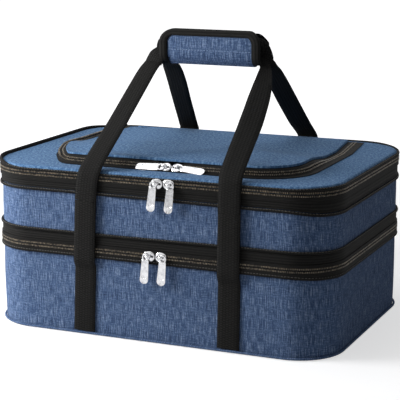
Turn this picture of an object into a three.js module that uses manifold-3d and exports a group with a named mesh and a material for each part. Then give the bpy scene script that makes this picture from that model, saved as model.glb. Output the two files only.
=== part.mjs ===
// Two-deck casserole carrier with a flap lid, three zippers and a pair of webbing handles.
// Millimetres, +Z up. The front face looks along -Y, +X is to the right of someone facing it,
// and the origin is on the ground under the middle of the body.
import * as THREE from "three";
import { mergeVertices } from "three/addons/utils/BufferGeometryUtils.js";
import Module from "manifold-3d";

const wasm = await Module();
wasm.setup();

// Body
const bodyWidth = 406;
const bodyDepth = 290;
const cornerRadius = 56;
const lowerCaseHeight = 96.5; // ground to the middle of the lower chain
const upperCaseHeight = 80; // chain to chain
const lidRise = 7.9; // upper chain to the lid's top face
const clearance = 0.3; // between pieces that touch
const cutOverrun = 4; // how far a cutter passes the face it leaves through

// Layers of the walls
const clothThickness = 1.2;
const foamThickness = 5;
const lidFoamThickness = 4.5;
const foilThickness = 0.6;
const basePanelThickness = 1.5;
const basePanelInset = 0.5;
const stiffenerThickness = 2.4;
const dividerThickness = 2;
const lidFoilThickness = 0.8;

// Trim of the bands
const pipingDiameter = 3.5;
const basePipingDiameter = 2.6;
const basePipingLift = 0.6;
const tapeReach = 6.8; // chain's middle to a tape's sewn edge
const lidTapeReach = 4.9;
const midStripReach = 17.9; // chain's middle to the far edge of the black strip above it
const lidStripReach = 16.9;
const hingeTapeMargin = 1;

// Zipper chain
const coilWidth = 2.2;
const coilThickness = 1.6;
const chainGap = 1.4; // between the two coils, for the slider's post
const tapeThickness = 0.8;

// Slider
const sliderLength = 12.6;
const sliderNoseHalfWidth = 4.8;
const sliderTailHalfWidth = 4.2;
const sliderCornerRadius = 1.6;
const plateThickness = 1;
const plateSeat = 0.4; // wall to the slider's inner plate
const runningGap = 0.5; // slider to coil
const flangeGap = 0.3; // slider's lips to the tape
const postWidth = 0.8;
const postLength = 3.6;
const postInset = 0.9;
const sliderSpacing = 0.4; // from each nose to the middle between a pair
const bridgeWidth = 1.5;
const bridgeLegLength = 1.6;
const bridgeTailInset = 2;
const bridgeNoseInset = 1.6;
const bridgeThickness = 1.2;
const bridgeEyeHeight = 2;

// Pull
const pullThickness = 1.2;
const pullBevel = 0.25;
const pullRingRadius = 4.1;
const pullHoleRadius = 2.3;
const pullReach = 30; // ring's middle to the free end
const pullHalfWidth = 4.2;
const pullNeckHalfWidth = 2.7;
const pullNeckLength = 4.4;
const pullRecessDepth = 0.25;
const pullRecessMargin = 1.3;
const pullDroop = THREE.MathUtils.degToRad(5); // the right flap pull hangs a little askew

// Where the noses of each pair of sliders meet
const midMeeting = 8.8;
const lidMeeting = 18.3;
const flapMeeting = 9.8;

// Flap in the lid, to the middle of its chain
const flapLeftMargin = 36; // body's left side to the chain
const flapRightMargin = 53;
const flapFrontMargin = 37;
const flapHingeMargin = 8;
const flapLeftRadius = 74;
const flapRightRadius = 49;
const flapTaper = 10; // each side leans in by this much towards the hinge
const flapTaperStart = 60;
const flapTapeReach = 11; // chain's middle to a tape's edge, along the tape
const flapStepReach = 5.2; // chain's middle to the bends of the step
const flapRise = 7.35; // height of the step along the front
const flapRiseStart = 30; // the step starts this far in front of the body's middle
const flapRiseLength = 70; // and is full this much farther
const flapCrown = 3.5; // puffed middle of the flap
const flapFold = 5.4; // how far the fold at the hinge reaches over each side

// Webbing
const webWidth = 25.4;
const webThickness = 2;
const webFoot = 4.2; // sewn end above the ground
const webStitchDrop = 24.5; // lower chain to the top of the sewn front run
const webRamp = 11; // height in which a run climbs from the wall onto the band
const webLinkRise = 28.5; // lower chain to the joint in the free front run
const webShoulderDrop = 4.1; // lid's top to where the front loop leaves the front face
const frontLeftFoot = -79;
const frontLeftShoulder = -72;
const frontRightFoot = 93;
const frontRightShoulder = 96;
const backLeftRun = -83;
const backRightRun = 76;

// Grip
const gripMiddle = 7.6;
const gripLength = 121;
const gripRise = 122.6; // lid's top to the grip's middle
const gripHeight = 39;
const gripDepth = 28;
const gripCorner = 13;
const gripEndRadius = 15;
const bindingWidth = 7;
const bindingThickness = 0.8;
const handSpacing = 1.8; // each hand section from the grip's middle plane
const handSlotGap = 0.35;
const handLead = 15; // straight webbing inside the grip before the turn
const turnRadius = 1; // the webbing's inner edge at its turn
const frontLeftInset = 3.5; // the front loop turns this far inside the grip's left end
const backLeftInset = 21.7;
const rightInset = -1;
const frontLeftShares = [1, 0.95, 0.85, 0.64]; // the webbing's width as it gathers into the turn
const backLeftShares = [0.88, 0.74, 0.72, 0.7];
const rightShares = [0.74, 0.6, 0.48, 0.6];
const shoulderRise = 5.5;
const legRise = 14;
const legSetBack = 8;
const legTopDrop = 12.3;
const legTopSetBack = 8;
const legTopRise = 5.3;
const legTopStraight = 1.3;

const arcSegments = 4;

// Places worked out from the sizes above
const midSplit = lowerCaseHeight;
const lidSplit = lowerCaseHeight + upperCaseHeight;
const lidTop = lidSplit + lidRise;
const webStitch = midSplit - webStitchDrop;
const webLink = midSplit + webLinkRise;
const webShoulder = lidTop - webShoulderDrop;
const gripLevel = lidTop + gripRise;
const halfGap = clearance / 2;
const coilInner = plateSeat + plateThickness + runningGap;
const coilOuter = coilInner + coilThickness;
const tapeInner = coilInner + (coilThickness - tapeThickness) / 2;
const tapeOuter = tapeInner + tapeThickness;
const sliderTop = coilOuter + runningGap + plateThickness;
const flapLevel = lidTop + clearance + tapeThickness / 2; // middle of the flap's outer tape
const ringLevel = sliderTop + (bridgeEyeHeight - pullThickness) / 2;
const coilReach = chainGap / 2 + coilWidth;
const plateReach = sliderNoseHalfWidth + runningGap;
const pipingOuter = clearance + pipingDiameter;
const webLift = pipingOuter + clearance;
const frontFace = -bodyDepth / 2;
const gripLeft = gripMiddle - gripLength / 2;
const gripRight = gripMiddle + gripLength / 2;
const straightHalf = bodyWidth / 2 - cornerRadius;
const flapLeft = bodyWidth / 2 - flapLeftMargin;
const flapRight = bodyWidth / 2 - flapRightMargin;
const flapFront = bodyDepth / 2 - flapFrontMargin;
const flapHinge = bodyDepth / 2 - flapHingeMargin;

const black = { color: 0x232322, roughness: 0.85, metalness: 0 };
const finishes = {
  cloth: { color: 0x456a9b, roughness: 0.9, metalness: 0 },
  trim: black,
  web: { color: 0x1f1f1e, roughness: 0.8, metalness: 0 },
  foam: { color: 0xe6e4dd, roughness: 0.95, metalness: 0 },
  foil: { color: 0xc4c8cc, roughness: 0.35, metalness: 0.7 },
  board: { color: 0x6b6b68, roughness: 0.7, metalness: 0 },
  metal: { color: 0xd9dadc, roughness: 0.2, metalness: 1 },
};

const root = new THREE.Group();

function addMesh(name, geometry, finish, parent = root) {
  const mesh = new THREE.Mesh(geometry, new THREE.MeshStandardMaterial(finishes[finish]));
  mesh.name = name;
  parent.add(mesh);
  return mesh;
}

// A closed geometry as a solid that can be joined and cut.
function solidOf(geometry) {
  const bare = geometry.clone();
  bare.deleteAttribute("normal");
  bare.deleteAttribute("uv");
  const merged = mergeVertices(bare);
  return new wasm.Manifold(
    new wasm.Mesh({
      numProp: 3,
      vertProperties: merged.attributes.position.array,
      triVerts: new Uint32Array(merged.index.array),
    }),
  );
}

function geometryOf(solid) {
  const mesh = solid.getMesh();
  const geometry = new THREE.BufferGeometry();
  geometry.setAttribute("position", new THREE.BufferAttribute(mesh.vertProperties, mesh.numProp));
  geometry.setIndex(new THREE.BufferAttribute(mesh.triVerts, 1));
  return geometry;
}

function prism(shape, bottom, top, segments = arcSegments) {
  const options = { depth: top - bottom, bevelEnabled: false, curveSegments: segments };
  return new THREE.ExtrudeGeometry(shape, options).translate(0, 0, bottom);
}

// A rectangle with rounded corners between two corners.
function roundedRect(x0, y0, x1, y1, radius, path = new THREE.Shape()) {
  path.moveTo(x0 + radius, y0);
  path.lineTo(x1 - radius, y0);
  path.absarc(x1 - radius, y0 + radius, radius, -Math.PI / 2, 0);
  path.lineTo(x1, y1 - radius);
  path.absarc(x1 - radius, y1 - radius, radius, 0, Math.PI / 2);
  path.lineTo(x0 + radius, y1);
  path.absarc(x0 + radius, y1 - radius, radius, Math.PI / 2, Math.PI);
  path.lineTo(x0, y0 + radius);
  path.absarc(x0 + radius, y0 + radius, radius, Math.PI, 1.5 * Math.PI);
  return path;
}

// The body's outline, moved outwards by an offset.
function bodyOutline(offset, path) {
  const x = bodyWidth / 2 + offset;
  const y = bodyDepth / 2 + offset;
  return roundedRect(-x, -y, x, y, cornerRadius + offset, path);
}

function slab(offset, bottom, top) {
  return prism(bodyOutline(offset), bottom, top);
}

function ring(inner, outer, bottom, top) {
  const shape = bodyOutline(outer);
  shape.holes.push(bodyOutline(inner, new THREE.Path()));
  return prism(shape, bottom, top);
}

// A round cord sewn in all round the body, as a ring with rounded edges.
function piping(inner, diameter, bottom) {
  const radius = diameter / 2;
  const shape = bodyOutline(inner + diameter);
  shape.holes.push(bodyOutline(inner, new THREE.Path()));
  const options = {
    depth: diameter - radius,
    bevelThickness: radius / 2,
    bevelSize: radius / 2,
    bevelOffset: -radius / 2,
    bevelSegments: 1,
    curveSegments: arcSegments,
  };
  return new THREE.ExtrudeGeometry(shape, options).translate(0, 0, bottom + radius / 2);
}

// Walls and a floor in one piece, open at the top.
function tray(offset, wall, bottom, floor, top) {
  const outside = solidOf(slab(offset, bottom, top));
  const inside = solidOf(slab(offset - wall, bottom + floor, top + cutOverrun));
  return geometryOf(outside.subtract(inside));
}

// The flap's outline, round at the front and square at the hinge.
function flapOutline(offset, back) {
  const left = -flapLeft - offset;
  const right = flapRight + offset;
  const y = -flapFront - offset;
  const leftRadius = flapLeftRadius + offset;
  const rightRadius = flapRightRadius + offset;
  const shape = new THREE.Shape();
  shape.moveTo(left + flapTaper, back);
  shape.lineTo(left, flapTaperStart);
  shape.lineTo(left, y + leftRadius);
  shape.absarc(left + leftRadius, y + leftRadius, leftRadius, Math.PI, 1.5 * Math.PI);
  shape.lineTo(right - rightRadius, y);
  shape.absarc(right - rightRadius, y + rightRadius, rightRadius, -Math.PI / 2, 0);
  shape.lineTo(right, flapTaperStart);
  shape.lineTo(right - flapTaper, back);
  return shape;
}

// How far the flap's zipper steps up from the lid at a place on its chain.
const flapLift = (y) =>
  flapRise * THREE.MathUtils.smoothstep(-y, flapRiseStart, flapRiseStart + flapRiseLength);

// Places along the flap's chain, each with its outward normal and the slope of its step.
function flapStations(back) {
  const stations = [];
  const add = (x, y, nx, ny) => {
    const angle = Math.asin(flapLift(y) / (2 * flapStepReach));
    stations.push({ x, y, nx, ny, angle });
  };
  const arc = (x, y, radius, start) => {
    const count = 2 * arcSegments;
    for (let i = 0; i <= count; i += 1) {
      const turn = start + (i / count) * (Math.PI / 2);
      add(x + radius * Math.cos(turn), y + radius * Math.sin(turn), Math.cos(turn), Math.sin(turn));
    }
  };
  add(flapTaper - flapLeft, back, -1, 0);
  add(-flapLeft, flapTaperStart, -1, 0);
  arc(flapLeftRadius - flapLeft, flapLeftRadius - flapFront, flapLeftRadius, Math.PI);
  arc(flapRight - flapRightRadius, flapRightRadius - flapFront, flapRightRadius, -Math.PI / 2);
  add(flapRight, -flapRiseStart, 1, 0);
  add(flapRight, flapTaperStart, 1, 0);
  add(flapRight - flapTaper, back, 1, 0);
  return stations;
}

// A point of the flap zipper's section: reach along the tape from the chain's middle,
// outwards when it is positive, and height above the tape's middle.
function flapPoint(place, reach, height) {
  const side = Math.sign(reach);
  const cos = Math.cos(place.angle);
  const sin = Math.sin(place.angle);
  const onSlope = Math.min(Math.abs(reach), flapStepReach);
  let offset = flapStepReach - flapStepReach * cos + side * onSlope * cos + height * sin;
  let z = flapLevel + flapStepReach * sin - side * onSlope * sin + height * cos;
  if (onSlope === flapStepReach) {
    offset = flapStepReach - flapStepReach * cos + side * flapStepReach * cos;
    offset += height * Math.tan(place.angle / 2) + side * (Math.abs(reach) - flapStepReach);
    z = flapLevel + flapStepReach * sin - side * flapStepReach * sin + height;
  }
  return new THREE.Vector3(place.x + place.nx * offset, place.y + place.ny * offset, z);
}

// Half of the flap's zipper. side is 1 on the lid and -1 on the flap.
function flapZipperHalf(side, back) {
  const tape = tapeThickness / 2;
  const coil = coilThickness / 2;
  const section = [
    [chainGap / 2, -coil],
    [coilReach, -coil],
    [coilReach, -tape],
    [flapStepReach, -tape],
    [flapTapeReach, -tape],
    [flapTapeReach, tape],
    [flapStepReach, tape],
    [coilReach, tape],
    [coilReach, coil],
    [chainGap / 2, coil],
  ];
  const caps = [
    [0, 1, 2],
    [0, 2, 7],
    [0, 7, 9],
    [7, 8, 9],
    [2, 3, 6],
    [2, 6, 7],
    [3, 4, 5],
    [3, 5, 6],
  ];
  const points = flapStations(back).flatMap((place) =>
    section.map(([reach, height]) => flapPoint(place, side * reach, height)),
  );
  return closedLoft(points, section.length, caps);
}

// A closed solid through sections of equal count. caps are the triangles of its ends.
function closedLoft(points, count, caps) {
  const faces = [];
  const last = points.length - count;
  for (let k = 0; k < last; k += count) {
    for (let i = 0; i < count; i += 1) {
      const j = (i + 1) % count;
      faces.push(k + i, k + count + i, k + count + j, k + i, k + count + j, k + j);
    }
  }
  for (const [a, b, c] of caps) faces.push(a, b, c, last + a, last + c, last + b);
  const geometry = new THREE.BufferGeometry().setFromPoints(points);
  geometry.setIndex(faces);
  return outward(geometry);
}

// The geometry with its faces turned outwards.
function outward(geometry) {
  const place = geometry.attributes.position;
  const index = geometry.index.array;
  const corner = [new THREE.Vector3(), new THREE.Vector3(), new THREE.Vector3()];
  let volume = 0;
  for (let i = 0; i < index.length; i += corner.length) {
    corner.forEach((v, k) => v.fromBufferAttribute(place, index[i + k]));
    volume += corner[0].dot(corner[1].clone().cross(corner[2]));
  }
  if (volume < 0) geometry.setIndex([...index].reverse());
  return geometry;
}

// A puffed sheet inside the flap's zipper. Its edge is past the inner tape's edge by a
// margin and its top face lies above the step by a lift. bottom gives the lower face's
// height under a point of the top face.
function flapDome(margin, lift, back, bottom) {
  const ringShares = [0, 0.1, 0.4];
  const middle = new THREE.Vector2((flapRight - flapLeft) / 2, (back - flapFront) / 2);
  const places = flapStations(back);
  const edge = places.map((p) => {
    const inner = flapPoint(p, -flapTapeReach, 0);
    const x = inner.x + p.nx * margin;
    return { x, y: inner.y + p.ny * margin, z: inner.z + lift };
  });
  const first = edge[0];
  const end = edge[edge.length - 1];
  for (const share of [0.25, 0.5, 0.75]) {
    edge.push({ x: THREE.MathUtils.lerp(end.x, first.x, share), y: back, z: first.z });
  }
  const points = [];
  const count = edge.length;
  for (const under of [false, true]) {
    for (const share of [...ringShares, 1]) {
      for (const p of share < 1 ? edge : [edge[0]]) {
        const x = THREE.MathUtils.lerp(p.x, middle.x, share);
        const y = THREE.MathUtils.lerp(p.y, middle.y, share);
        const base = share < 1 ? THREE.MathUtils.lerp(p.z, first.z, share) : first.z;
        const z = base + flapCrown * share * share;
        points.push(new THREE.Vector3(x, y, under ? bottom(z) : z));
      }
    }
  }
  const layer = ringShares.length * count + 1;
  const faces = [];
  for (let i = 0; i < count; i += 1) {
    const j = (i + 1) % count;
    for (let r = 0; r < ringShares.length; r += 1) {
      const [a, b] = [r * count + i, r * count + j];
      const inner = r < ringShares.length - 1;
      const [c, d] = inner ? [a + count, b + count] : [layer - 1, layer - 1];
      faces.push(a, b, d, layer + a, layer + d, layer + b);
      if (inner) faces.push(a, d, c, layer + a, layer + c, layer + d);
    }
    faces.push(i, layer + i, layer + j, i, layer + j, j);
  }
  const geometry = new THREE.BufferGeometry().setFromPoints(points);
  geometry.setIndex(faces);
  return outward(geometry);
}

function flapPrism(offset, back, bottom, top) {
  return solidOf(prism(flapOutline(offset, back), bottom, top));
}

// Half of a zipper that runs round the front and sides of the body: a tape and the coil
// along its free edge. side is 1 above the chain and -1 below it, and a gap in the coil
// leaves room for a pair of sliders where they rest.
function bodyZipperHalf(level, side, reach, slidersAt) {
  const span = (near, far) => [level + side * near, level + side * far].sort((a, b) => a - b);
  const tape = solidOf(ring(tapeInner, tapeOuter, ...span(chainGap / 2, reach)));
  let coil = solidOf(ring(coilInner, coilOuter, ...span(chainGap / 2, coilReach)));
  if (slidersAt !== undefined) coil = coil.subtract(sliderRoom(slidersAt, level));
  const back = solidOf(
    new THREE.BoxGeometry(2 * straightHalf, bodyDepth, 2 * (reach + cutOverrun)).translate(
      0,
      bodyDepth / 2 + cornerRadius / 2,
      level,
    ),
  );
  return geometryOf(tape.add(coil).subtract(back));
}

// The space of a resting pair of sliders on the front face.
function sliderRoom(meeting, level) {
  const length = 2 * (sliderLength + sliderSpacing + runningGap);
  const depth = 2 * (coilOuter + cutOverrun);
  const box = new THREE.BoxGeometry(length, depth, 2 * (coilReach + cutOverrun));
  return solidOf(box.translate(meeting, frontFace, level));
}

// A flat fabric strip that joins two pieces across the back of the body.
function backStrip(bottom, top) {
  const half = straightHalf - hingeTapeMargin;
  const shape = roundedRect(-half, bottom, half, top, tapeThickness);
  const options = { depth: tapeThickness, bevelEnabled: false, curveSegments: 1 };
  return new THREE.ExtrudeGeometry(shape, options)
    .rotateX(Math.PI / 2)
    .translate(0, bodyDepth / 2 + tapeOuter, 0);
}

// Slider in its own frame: it travels along X with its nose at +X, and the chain is on the
// X axis in the XY plane. The wall that it slides over is at Z 0.
function sliderSolid() {
  const plate = new THREE.Shape();
  const nose = sliderNoseHalfWidth;
  const tail = sliderTailHalfWidth;
  const corner = sliderCornerRadius;
  plate.moveTo(corner, -tail);
  plate.lineTo(sliderLength / 2, -tail);
  plate.quadraticCurveTo(sliderLength - 2 * corner, -nose, sliderLength - corner, -nose);
  plate.quadraticCurveTo(sliderLength, -nose, sliderLength, -nose + corner);
  plate.quadraticCurveTo(sliderLength - corner, 0, sliderLength, nose - corner);
  plate.quadraticCurveTo(sliderLength, nose, sliderLength - corner, nose);
  plate.quadraticCurveTo(sliderLength - 2 * corner, nose, sliderLength / 2, tail);
  plate.lineTo(corner, tail);
  plate.quadraticCurveTo(0, tail, 0, tail - corner);
  plate.lineTo(0, -tail + corner);
  plate.quadraticCurveTo(0, -tail, corner, -tail);
  const body = solidOf(prism(plate, plateSeat, sliderTop, 2));
  const length = sliderLength + 2 * cutOverrun;
  const cut = (width, bottom, top) =>
    solidOf(
      new THREE.BoxGeometry(length, width, top - bottom).translate(
        sliderLength / 2,
        0,
        (bottom + top) / 2,
      ),
    );
  const channel = cut(2 * (coilReach + runningGap), coilInner - runningGap, coilOuter + runningGap);
  const lips = cut(2 * (nose + cutOverrun), tapeInner - flangeGap, tapeOuter + flangeGap);
  const post = new THREE.Shape();
  const postEnd = sliderLength - postInset - sliderCornerRadius / 2;
  post.moveTo(postEnd, 0);
  post.lineTo(postEnd - postLength / 3, postWidth / 2);
  post.lineTo(postEnd - postLength, 0);
  post.lineTo(postEnd - postLength / 3, -postWidth / 2);
  const divider = solidOf(prism(post, plateSeat + plateThickness / 2, sliderTop - plateThickness / 2));
  return body.subtract(channel).subtract(lips).add(divider).add(sliderBridge());
}

// The arch on the slider's outer plate, drawn from the side and as wide as its legs.
function sliderBridge() {
  const left = bridgeTailInset;
  const right = sliderLength - bridgeNoseInset;
  const eye = sliderTop + bridgeEyeHeight;
  const crown = eye + bridgeThickness;
  const foot = sliderTop - plateThickness / 2;
  const arch = new THREE.Shape();
  arch.moveTo(left, foot);
  arch.lineTo(left, eye);
  arch.quadraticCurveTo(left, crown, left + bridgeLegLength, crown);
  arch.lineTo(right - bridgeLegLength, crown);
  arch.quadraticCurveTo(right, crown, right, eye);
  arch.lineTo(right, foot);
  arch.lineTo(right - bridgeLegLength, foot);
  arch.lineTo(right - bridgeLegLength, eye);
  arch.lineTo(left + bridgeLegLength, eye);
  arch.lineTo(left + bridgeLegLength, foot);
  const options = { depth: bridgeWidth, bevelEnabled: false, curveSegments: 3 };
  const side = new THREE.ExtrudeGeometry(arch, options).translate(0, 0, -bridgeWidth / 2);
  return solidOf(side.rotateX(Math.PI / 2));
}

// Pull in its own frame: it turns about Z at the origin, where the bridge's tail leg
// stands, and hangs towards -Y with its ring round that leg.
function pullSolid() {
  const ringDrop = pullHoleRadius - bridgeLegLength / 2 - runningGap + clearance / 2;
  const end = -ringDrop - pullReach;
  const shoulder = -ringDrop - pullRingRadius - pullNeckLength;
  const shape = new THREE.Shape();
  const neckAngle = Math.asin(pullNeckHalfWidth / pullRingRadius);
  const turn = Math.PI / 2;
  shape.absarc(0, -ringDrop, pullRingRadius, -turn + neckAngle, 3 * turn - neckAngle);
  shape.lineTo(-pullNeckHalfWidth, shoulder + pullHalfWidth);
  shape.quadraticCurveTo(-pullHalfWidth, shoulder + pullHalfWidth, -pullHalfWidth, shoulder);
  shape.lineTo(-pullHalfWidth, end + pullHalfWidth);
  shape.absarc(0, end + pullHalfWidth, pullHalfWidth, Math.PI, 2 * Math.PI);
  shape.lineTo(pullHalfWidth, shoulder);
  shape.quadraticCurveTo(pullHalfWidth, shoulder + pullHalfWidth, pullNeckHalfWidth, shoulder + pullHalfWidth);
  const hole = new THREE.Path();
  hole.absarc(0, -ringDrop, pullHoleRadius, 0, 2 * Math.PI);
  shape.holes.push(hole);
  const options = {
    depth: pullThickness - 2 * pullBevel,
    bevelThickness: pullBevel,
    bevelSize: pullBevel,
    bevelOffset: -pullBevel,
    bevelSegments: 1,
    curveSegments: arcSegments,
  };
  const blank = solidOf(new THREE.ExtrudeGeometry(shape, options).translate(0, 0, ringLevel + pullBevel));
  const half = pullHalfWidth - pullRecessMargin;
  const recess = roundedRect(-half, end + pullRecessMargin + half / 2, half, shoulder, half - pullBevel);
  const face = ringLevel + pullThickness;
  return blank.subtract(solidOf(prism(recess, face - pullRecessDepth, face + cutOverrun, 2)));
}

// Adds a pair of sliders with their pulls, nose to nose. place turns the sliders' frame
// into the zipper's, and hang gives the angle of each pull at rest.
function addSliders(zipper, place, hang) {
  const slider = geometryOf(sliderSolid());
  const pull = geometryOf(pullSolid());
  const leg = bridgeTailInset + bridgeLegLength / 2;
  for (const [side, sign] of [["left", -1], ["right", 1]]) {
    const frame = new THREE.Group();
    frame.position.x = sign * (sliderSpacing + sliderLength);
    if (sign > 0) frame.rotation.z = Math.PI;
    place.add(frame);
    addMesh(`${zipper}_slider_${side}`, slider, "metal", frame);
    const hanger = new THREE.Group();
    hanger.position.x = leg;
    hanger.rotation.z = hang[side] - (sign > 0 ? Math.PI : 0);
    frame.add(hanger);
    addMesh(`${zipper}_pull_${side}`, pull, "metal", hanger);
  }
}

// Webbing as a flat ribbon through stations, each with a middle, the direction of the
// ribbon's width and the share of that width.
function ribbon(stations, width = webWidth, thickness = webThickness, steps = 3) {
  const curve = new THREE.CatmullRomCurve3(stations.map((s) => s.middle), false, "centripetal");
  const spans = stations.length - 1;
  const corners = [];
  for (let i = 0; i <= spans * steps; i += 1) {
    const t = i / (spans * steps);
    const span = Math.min(Math.floor(i / steps), spans - 1);
    const part = i / steps - span;
    const along = curve.getTangent(t);
    const across = stations[span].across.clone().lerp(stations[span + 1].across, part);
    across.addScaledVector(along, -across.dot(along)).normalize();
    const out = along.clone().cross(across);
    const middle = curve.getPoint(t);
    const share = THREE.MathUtils.lerp(stations[span].share, stations[span + 1].share, part);
    for (const [a, b] of [[1, 1], [1, -1], [-1, -1], [-1, 1]]) {
      const corner = middle.clone().addScaledVector(across, (a * width * share) / 2);
      corners.push(corner.addScaledVector(out, (b * thickness) / 2));
    }
  }
  return loft(corners);
}

// A closed solid through quadrilateral sections, four corners each.
function loft(corners) {
  const faces = [0, 1, 2, 0, 2, 3];
  const last = corners.length - 4;
  for (let k = 0; k < last; k += 4) {
    for (let side = 0; side < 4; side += 1) {
      const next = (side + 1) % 4;
      faces.push(k + side, k + 4 + side, k + 4 + next, k + side, k + 4 + next, k + next);
    }
  }
  faces.push(last, last + 2, last + 1, last, last + 3, last + 2);
  const geometry = new THREE.BufferGeometry().setFromPoints(corners);
  geometry.setIndex(faces);
  return geometry;
}

const station = (x, y, z, across, share = 1) => ({
  middle: new THREE.Vector3(x, y, z),
  across: new THREE.Vector3(...across),
  share,
});

// The middle of webbing that lies flat against the front (side -1) or the back (side 1).
const faceOf = (side, lift) => side * (bodyDepth / 2 + lift + webThickness / 2);

// A run up the face: flat on the wall below the band, then over the band's edge.
function faceRun(side, foot, shoulder, bottom, top) {
  const climb = lowerPiping - clearance;
  const inner = (z) =>
    bodyDepth / 2 +
    THREE.MathUtils.lerp(clearance, webLift, THREE.MathUtils.smoothstep(z, climb - webRamp, climb));
  const levels = [bottom, climb - webRamp, climb - webRamp / 2, climb, top];
  const corners = [];
  levels.forEach((z, i) => {
    if (i > 0 && i < 4 && (z < bottom + clearance || z > top - clearance)) return;
    const x = THREE.MathUtils.lerp(foot, shoulder, (z - webFoot) / (webShoulder - webFoot));
    for (const [across, out] of [[1, 1], [1, 0], [-1, 0], [-1, 1]]) {
      const y = inner(z) + out * webThickness;
      corners.push(new THREE.Vector3(x + (side * across * webWidth) / 2, side * y, z));
    }
  });
  return loft(corners);
}

// The stations of one side of a handle loop, from its foot on the face to the grip. The
// webbing gathers as it turns about its inner edge.
function loopSide(side, foot, bottom, hand, sign, shares) {
  const y = side * handSpacing;
  const across = [sign, 0, 0];
  const shoulder = faceOf(side, webLift);
  const level = gripLevel - webWidth / 2;
  const [low, rise, start, turn] = shares;
  const out = (share) => turnRadius + (share * webWidth) / 2;
  const top = (share) => hand + sign * out(share);
  const corner = out(turn) * Math.SQRT1_2;
  const legTop = side * (handSpacing + legTopSetBack);
  return [
    station(foot, shoulder, bottom, across),
    station(foot, shoulder, webShoulder + shoulderRise, across),
    station(foot, shoulder - side * legSetBack, webShoulder + legRise, across),
    station(top(low), legTop, level - legTopDrop, across, low),
    station(top(rise), y, level - legTopRise, across, rise),
    station(top(start), y, level - legTopStraight, across, start),
    station(hand + sign * corner, y, level + corner, [sign, 0, 1], turn),
    station(hand, y, gripLevel, [0, 0, 1]),
    station(hand - sign * handLead, y, gripLevel, [0, 0, 1]),
  ];
}

function loopStations(side, feet, bottom, hands, shares) {
  const left = loopSide(side, feet[0], bottom, hands[0], -1, shares);
  const right = loopSide(side, feet[1], bottom, hands[1], 1, rightShares);
  const middle = station((hands[0] + hands[1]) / 2, side * handSpacing, gripLevel, [0, 0, 1]);
  return [...left, middle, ...right.reverse()];
}

// Half of the padded wrap round the two hand sections, with rounded ends. side is -1 for
// the cover at the front and 1 for the pad behind.
function gripHalf(side, margin, skin) {
  const depth = gripDepth / 2 + skin;
  const height = gripHeight / 2 + skin;
  const section = roundedRect(-depth, -height, depth, height, gripCorner + skin);
  const slotHalf = handSpacing + webThickness / 2 + handSlotGap;
  const slotHeight = webWidth / 2 + handSlotGap;
  const slot = new THREE.Path();
  slot.setFromPoints([
    new THREE.Vector2(-slotHalf, -slotHeight),
    new THREE.Vector2(slotHalf, -slotHeight),
    new THREE.Vector2(slotHalf, slotHeight),
    new THREE.Vector2(-slotHalf, slotHeight),
  ]);
  section.holes.push(slot);
  const options = { depth: gripLength, bevelEnabled: false, curveSegments: arcSegments };
  const tube = new THREE.ExtrudeGeometry(section, options)
    .rotateX(Math.PI / 2)
    .rotateZ(Math.PI / 2)
    .translate(gripLeft, 0, gripLevel);
  const cover = new THREE.Shape();
  const x0 = gripLeft + margin;
  const x1 = gripRight - margin;
  const top = gripLevel + height + cutOverrun;
  const rim = gripLevel + gripHeight / 2 - margin;
  const low = gripLevel - height - cutOverrun;
  const radius = gripEndRadius - margin / 2;
  cover.moveTo(x0, low);
  cover.lineTo(x1, low);
  cover.lineTo(x1, rim - radius);
  cover.absarc(x1 - radius, rim - radius, radius, 0, Math.PI / 2);
  cover.lineTo(x0 + radius, rim);
  cover.absarc(x0 + radius, rim - radius, radius, Math.PI / 2, Math.PI);
  const outline = margin > 0 || side < 0 ? cover : roundedRect(x0, low, x1, top, clearance);
  const depthOptions = { depth: gripDepth, bevelEnabled: false, curveSegments: arcSegments };
  const keep = new THREE.ExtrudeGeometry(outline, depthOptions).rotateX(Math.PI / 2);
  keep.translate(0, side < 0 ? -halfGap : gripDepth + halfGap, 0);
  return solidOf(tube).intersect(solidOf(keep));
}

// Lower case
addMesh("base_panel", slab(-basePanelInset, 0, basePanelThickness), "cloth");
const layerFoot = basePanelThickness + clearance;
addMesh("base_piping", piping(clearance, basePipingDiameter, basePipingLift), "cloth");
addMesh("lower_shell", ring(-clothThickness, 0, layerFoot, midSplit - halfGap), "cloth");
const inside = -clothThickness - clearance;
addMesh("base_stiffener", slab(inside, layerFoot, layerFoot + stiffenerThickness), "board");
const lowerFoam = layerFoot + stiffenerThickness + clearance;
addMesh("lower_insulation", tray(inside, foamThickness, lowerFoam, foamThickness, midSplit - halfGap), "foam");
const foilInside = inside - foamThickness - clearance;
const lowerFoil = lowerFoam + foamThickness + clearance;
addMesh("lower_lining", tray(foilInside, foilThickness, lowerFoil, foilThickness, midSplit - halfGap), "foil");
const lowerPiping = midSplit - tapeReach - clearance - pipingDiameter;
addMesh("lower_band_piping", piping(clearance, pipingDiameter, lowerPiping), "trim");
addMesh("mid_zipper_lower_half", bodyZipperHalf(midSplit, -1, tapeReach), "trim");
addMesh("mid_hinge_strip", backStrip(midSplit - tapeReach, midSplit + tapeReach), "trim");

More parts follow.
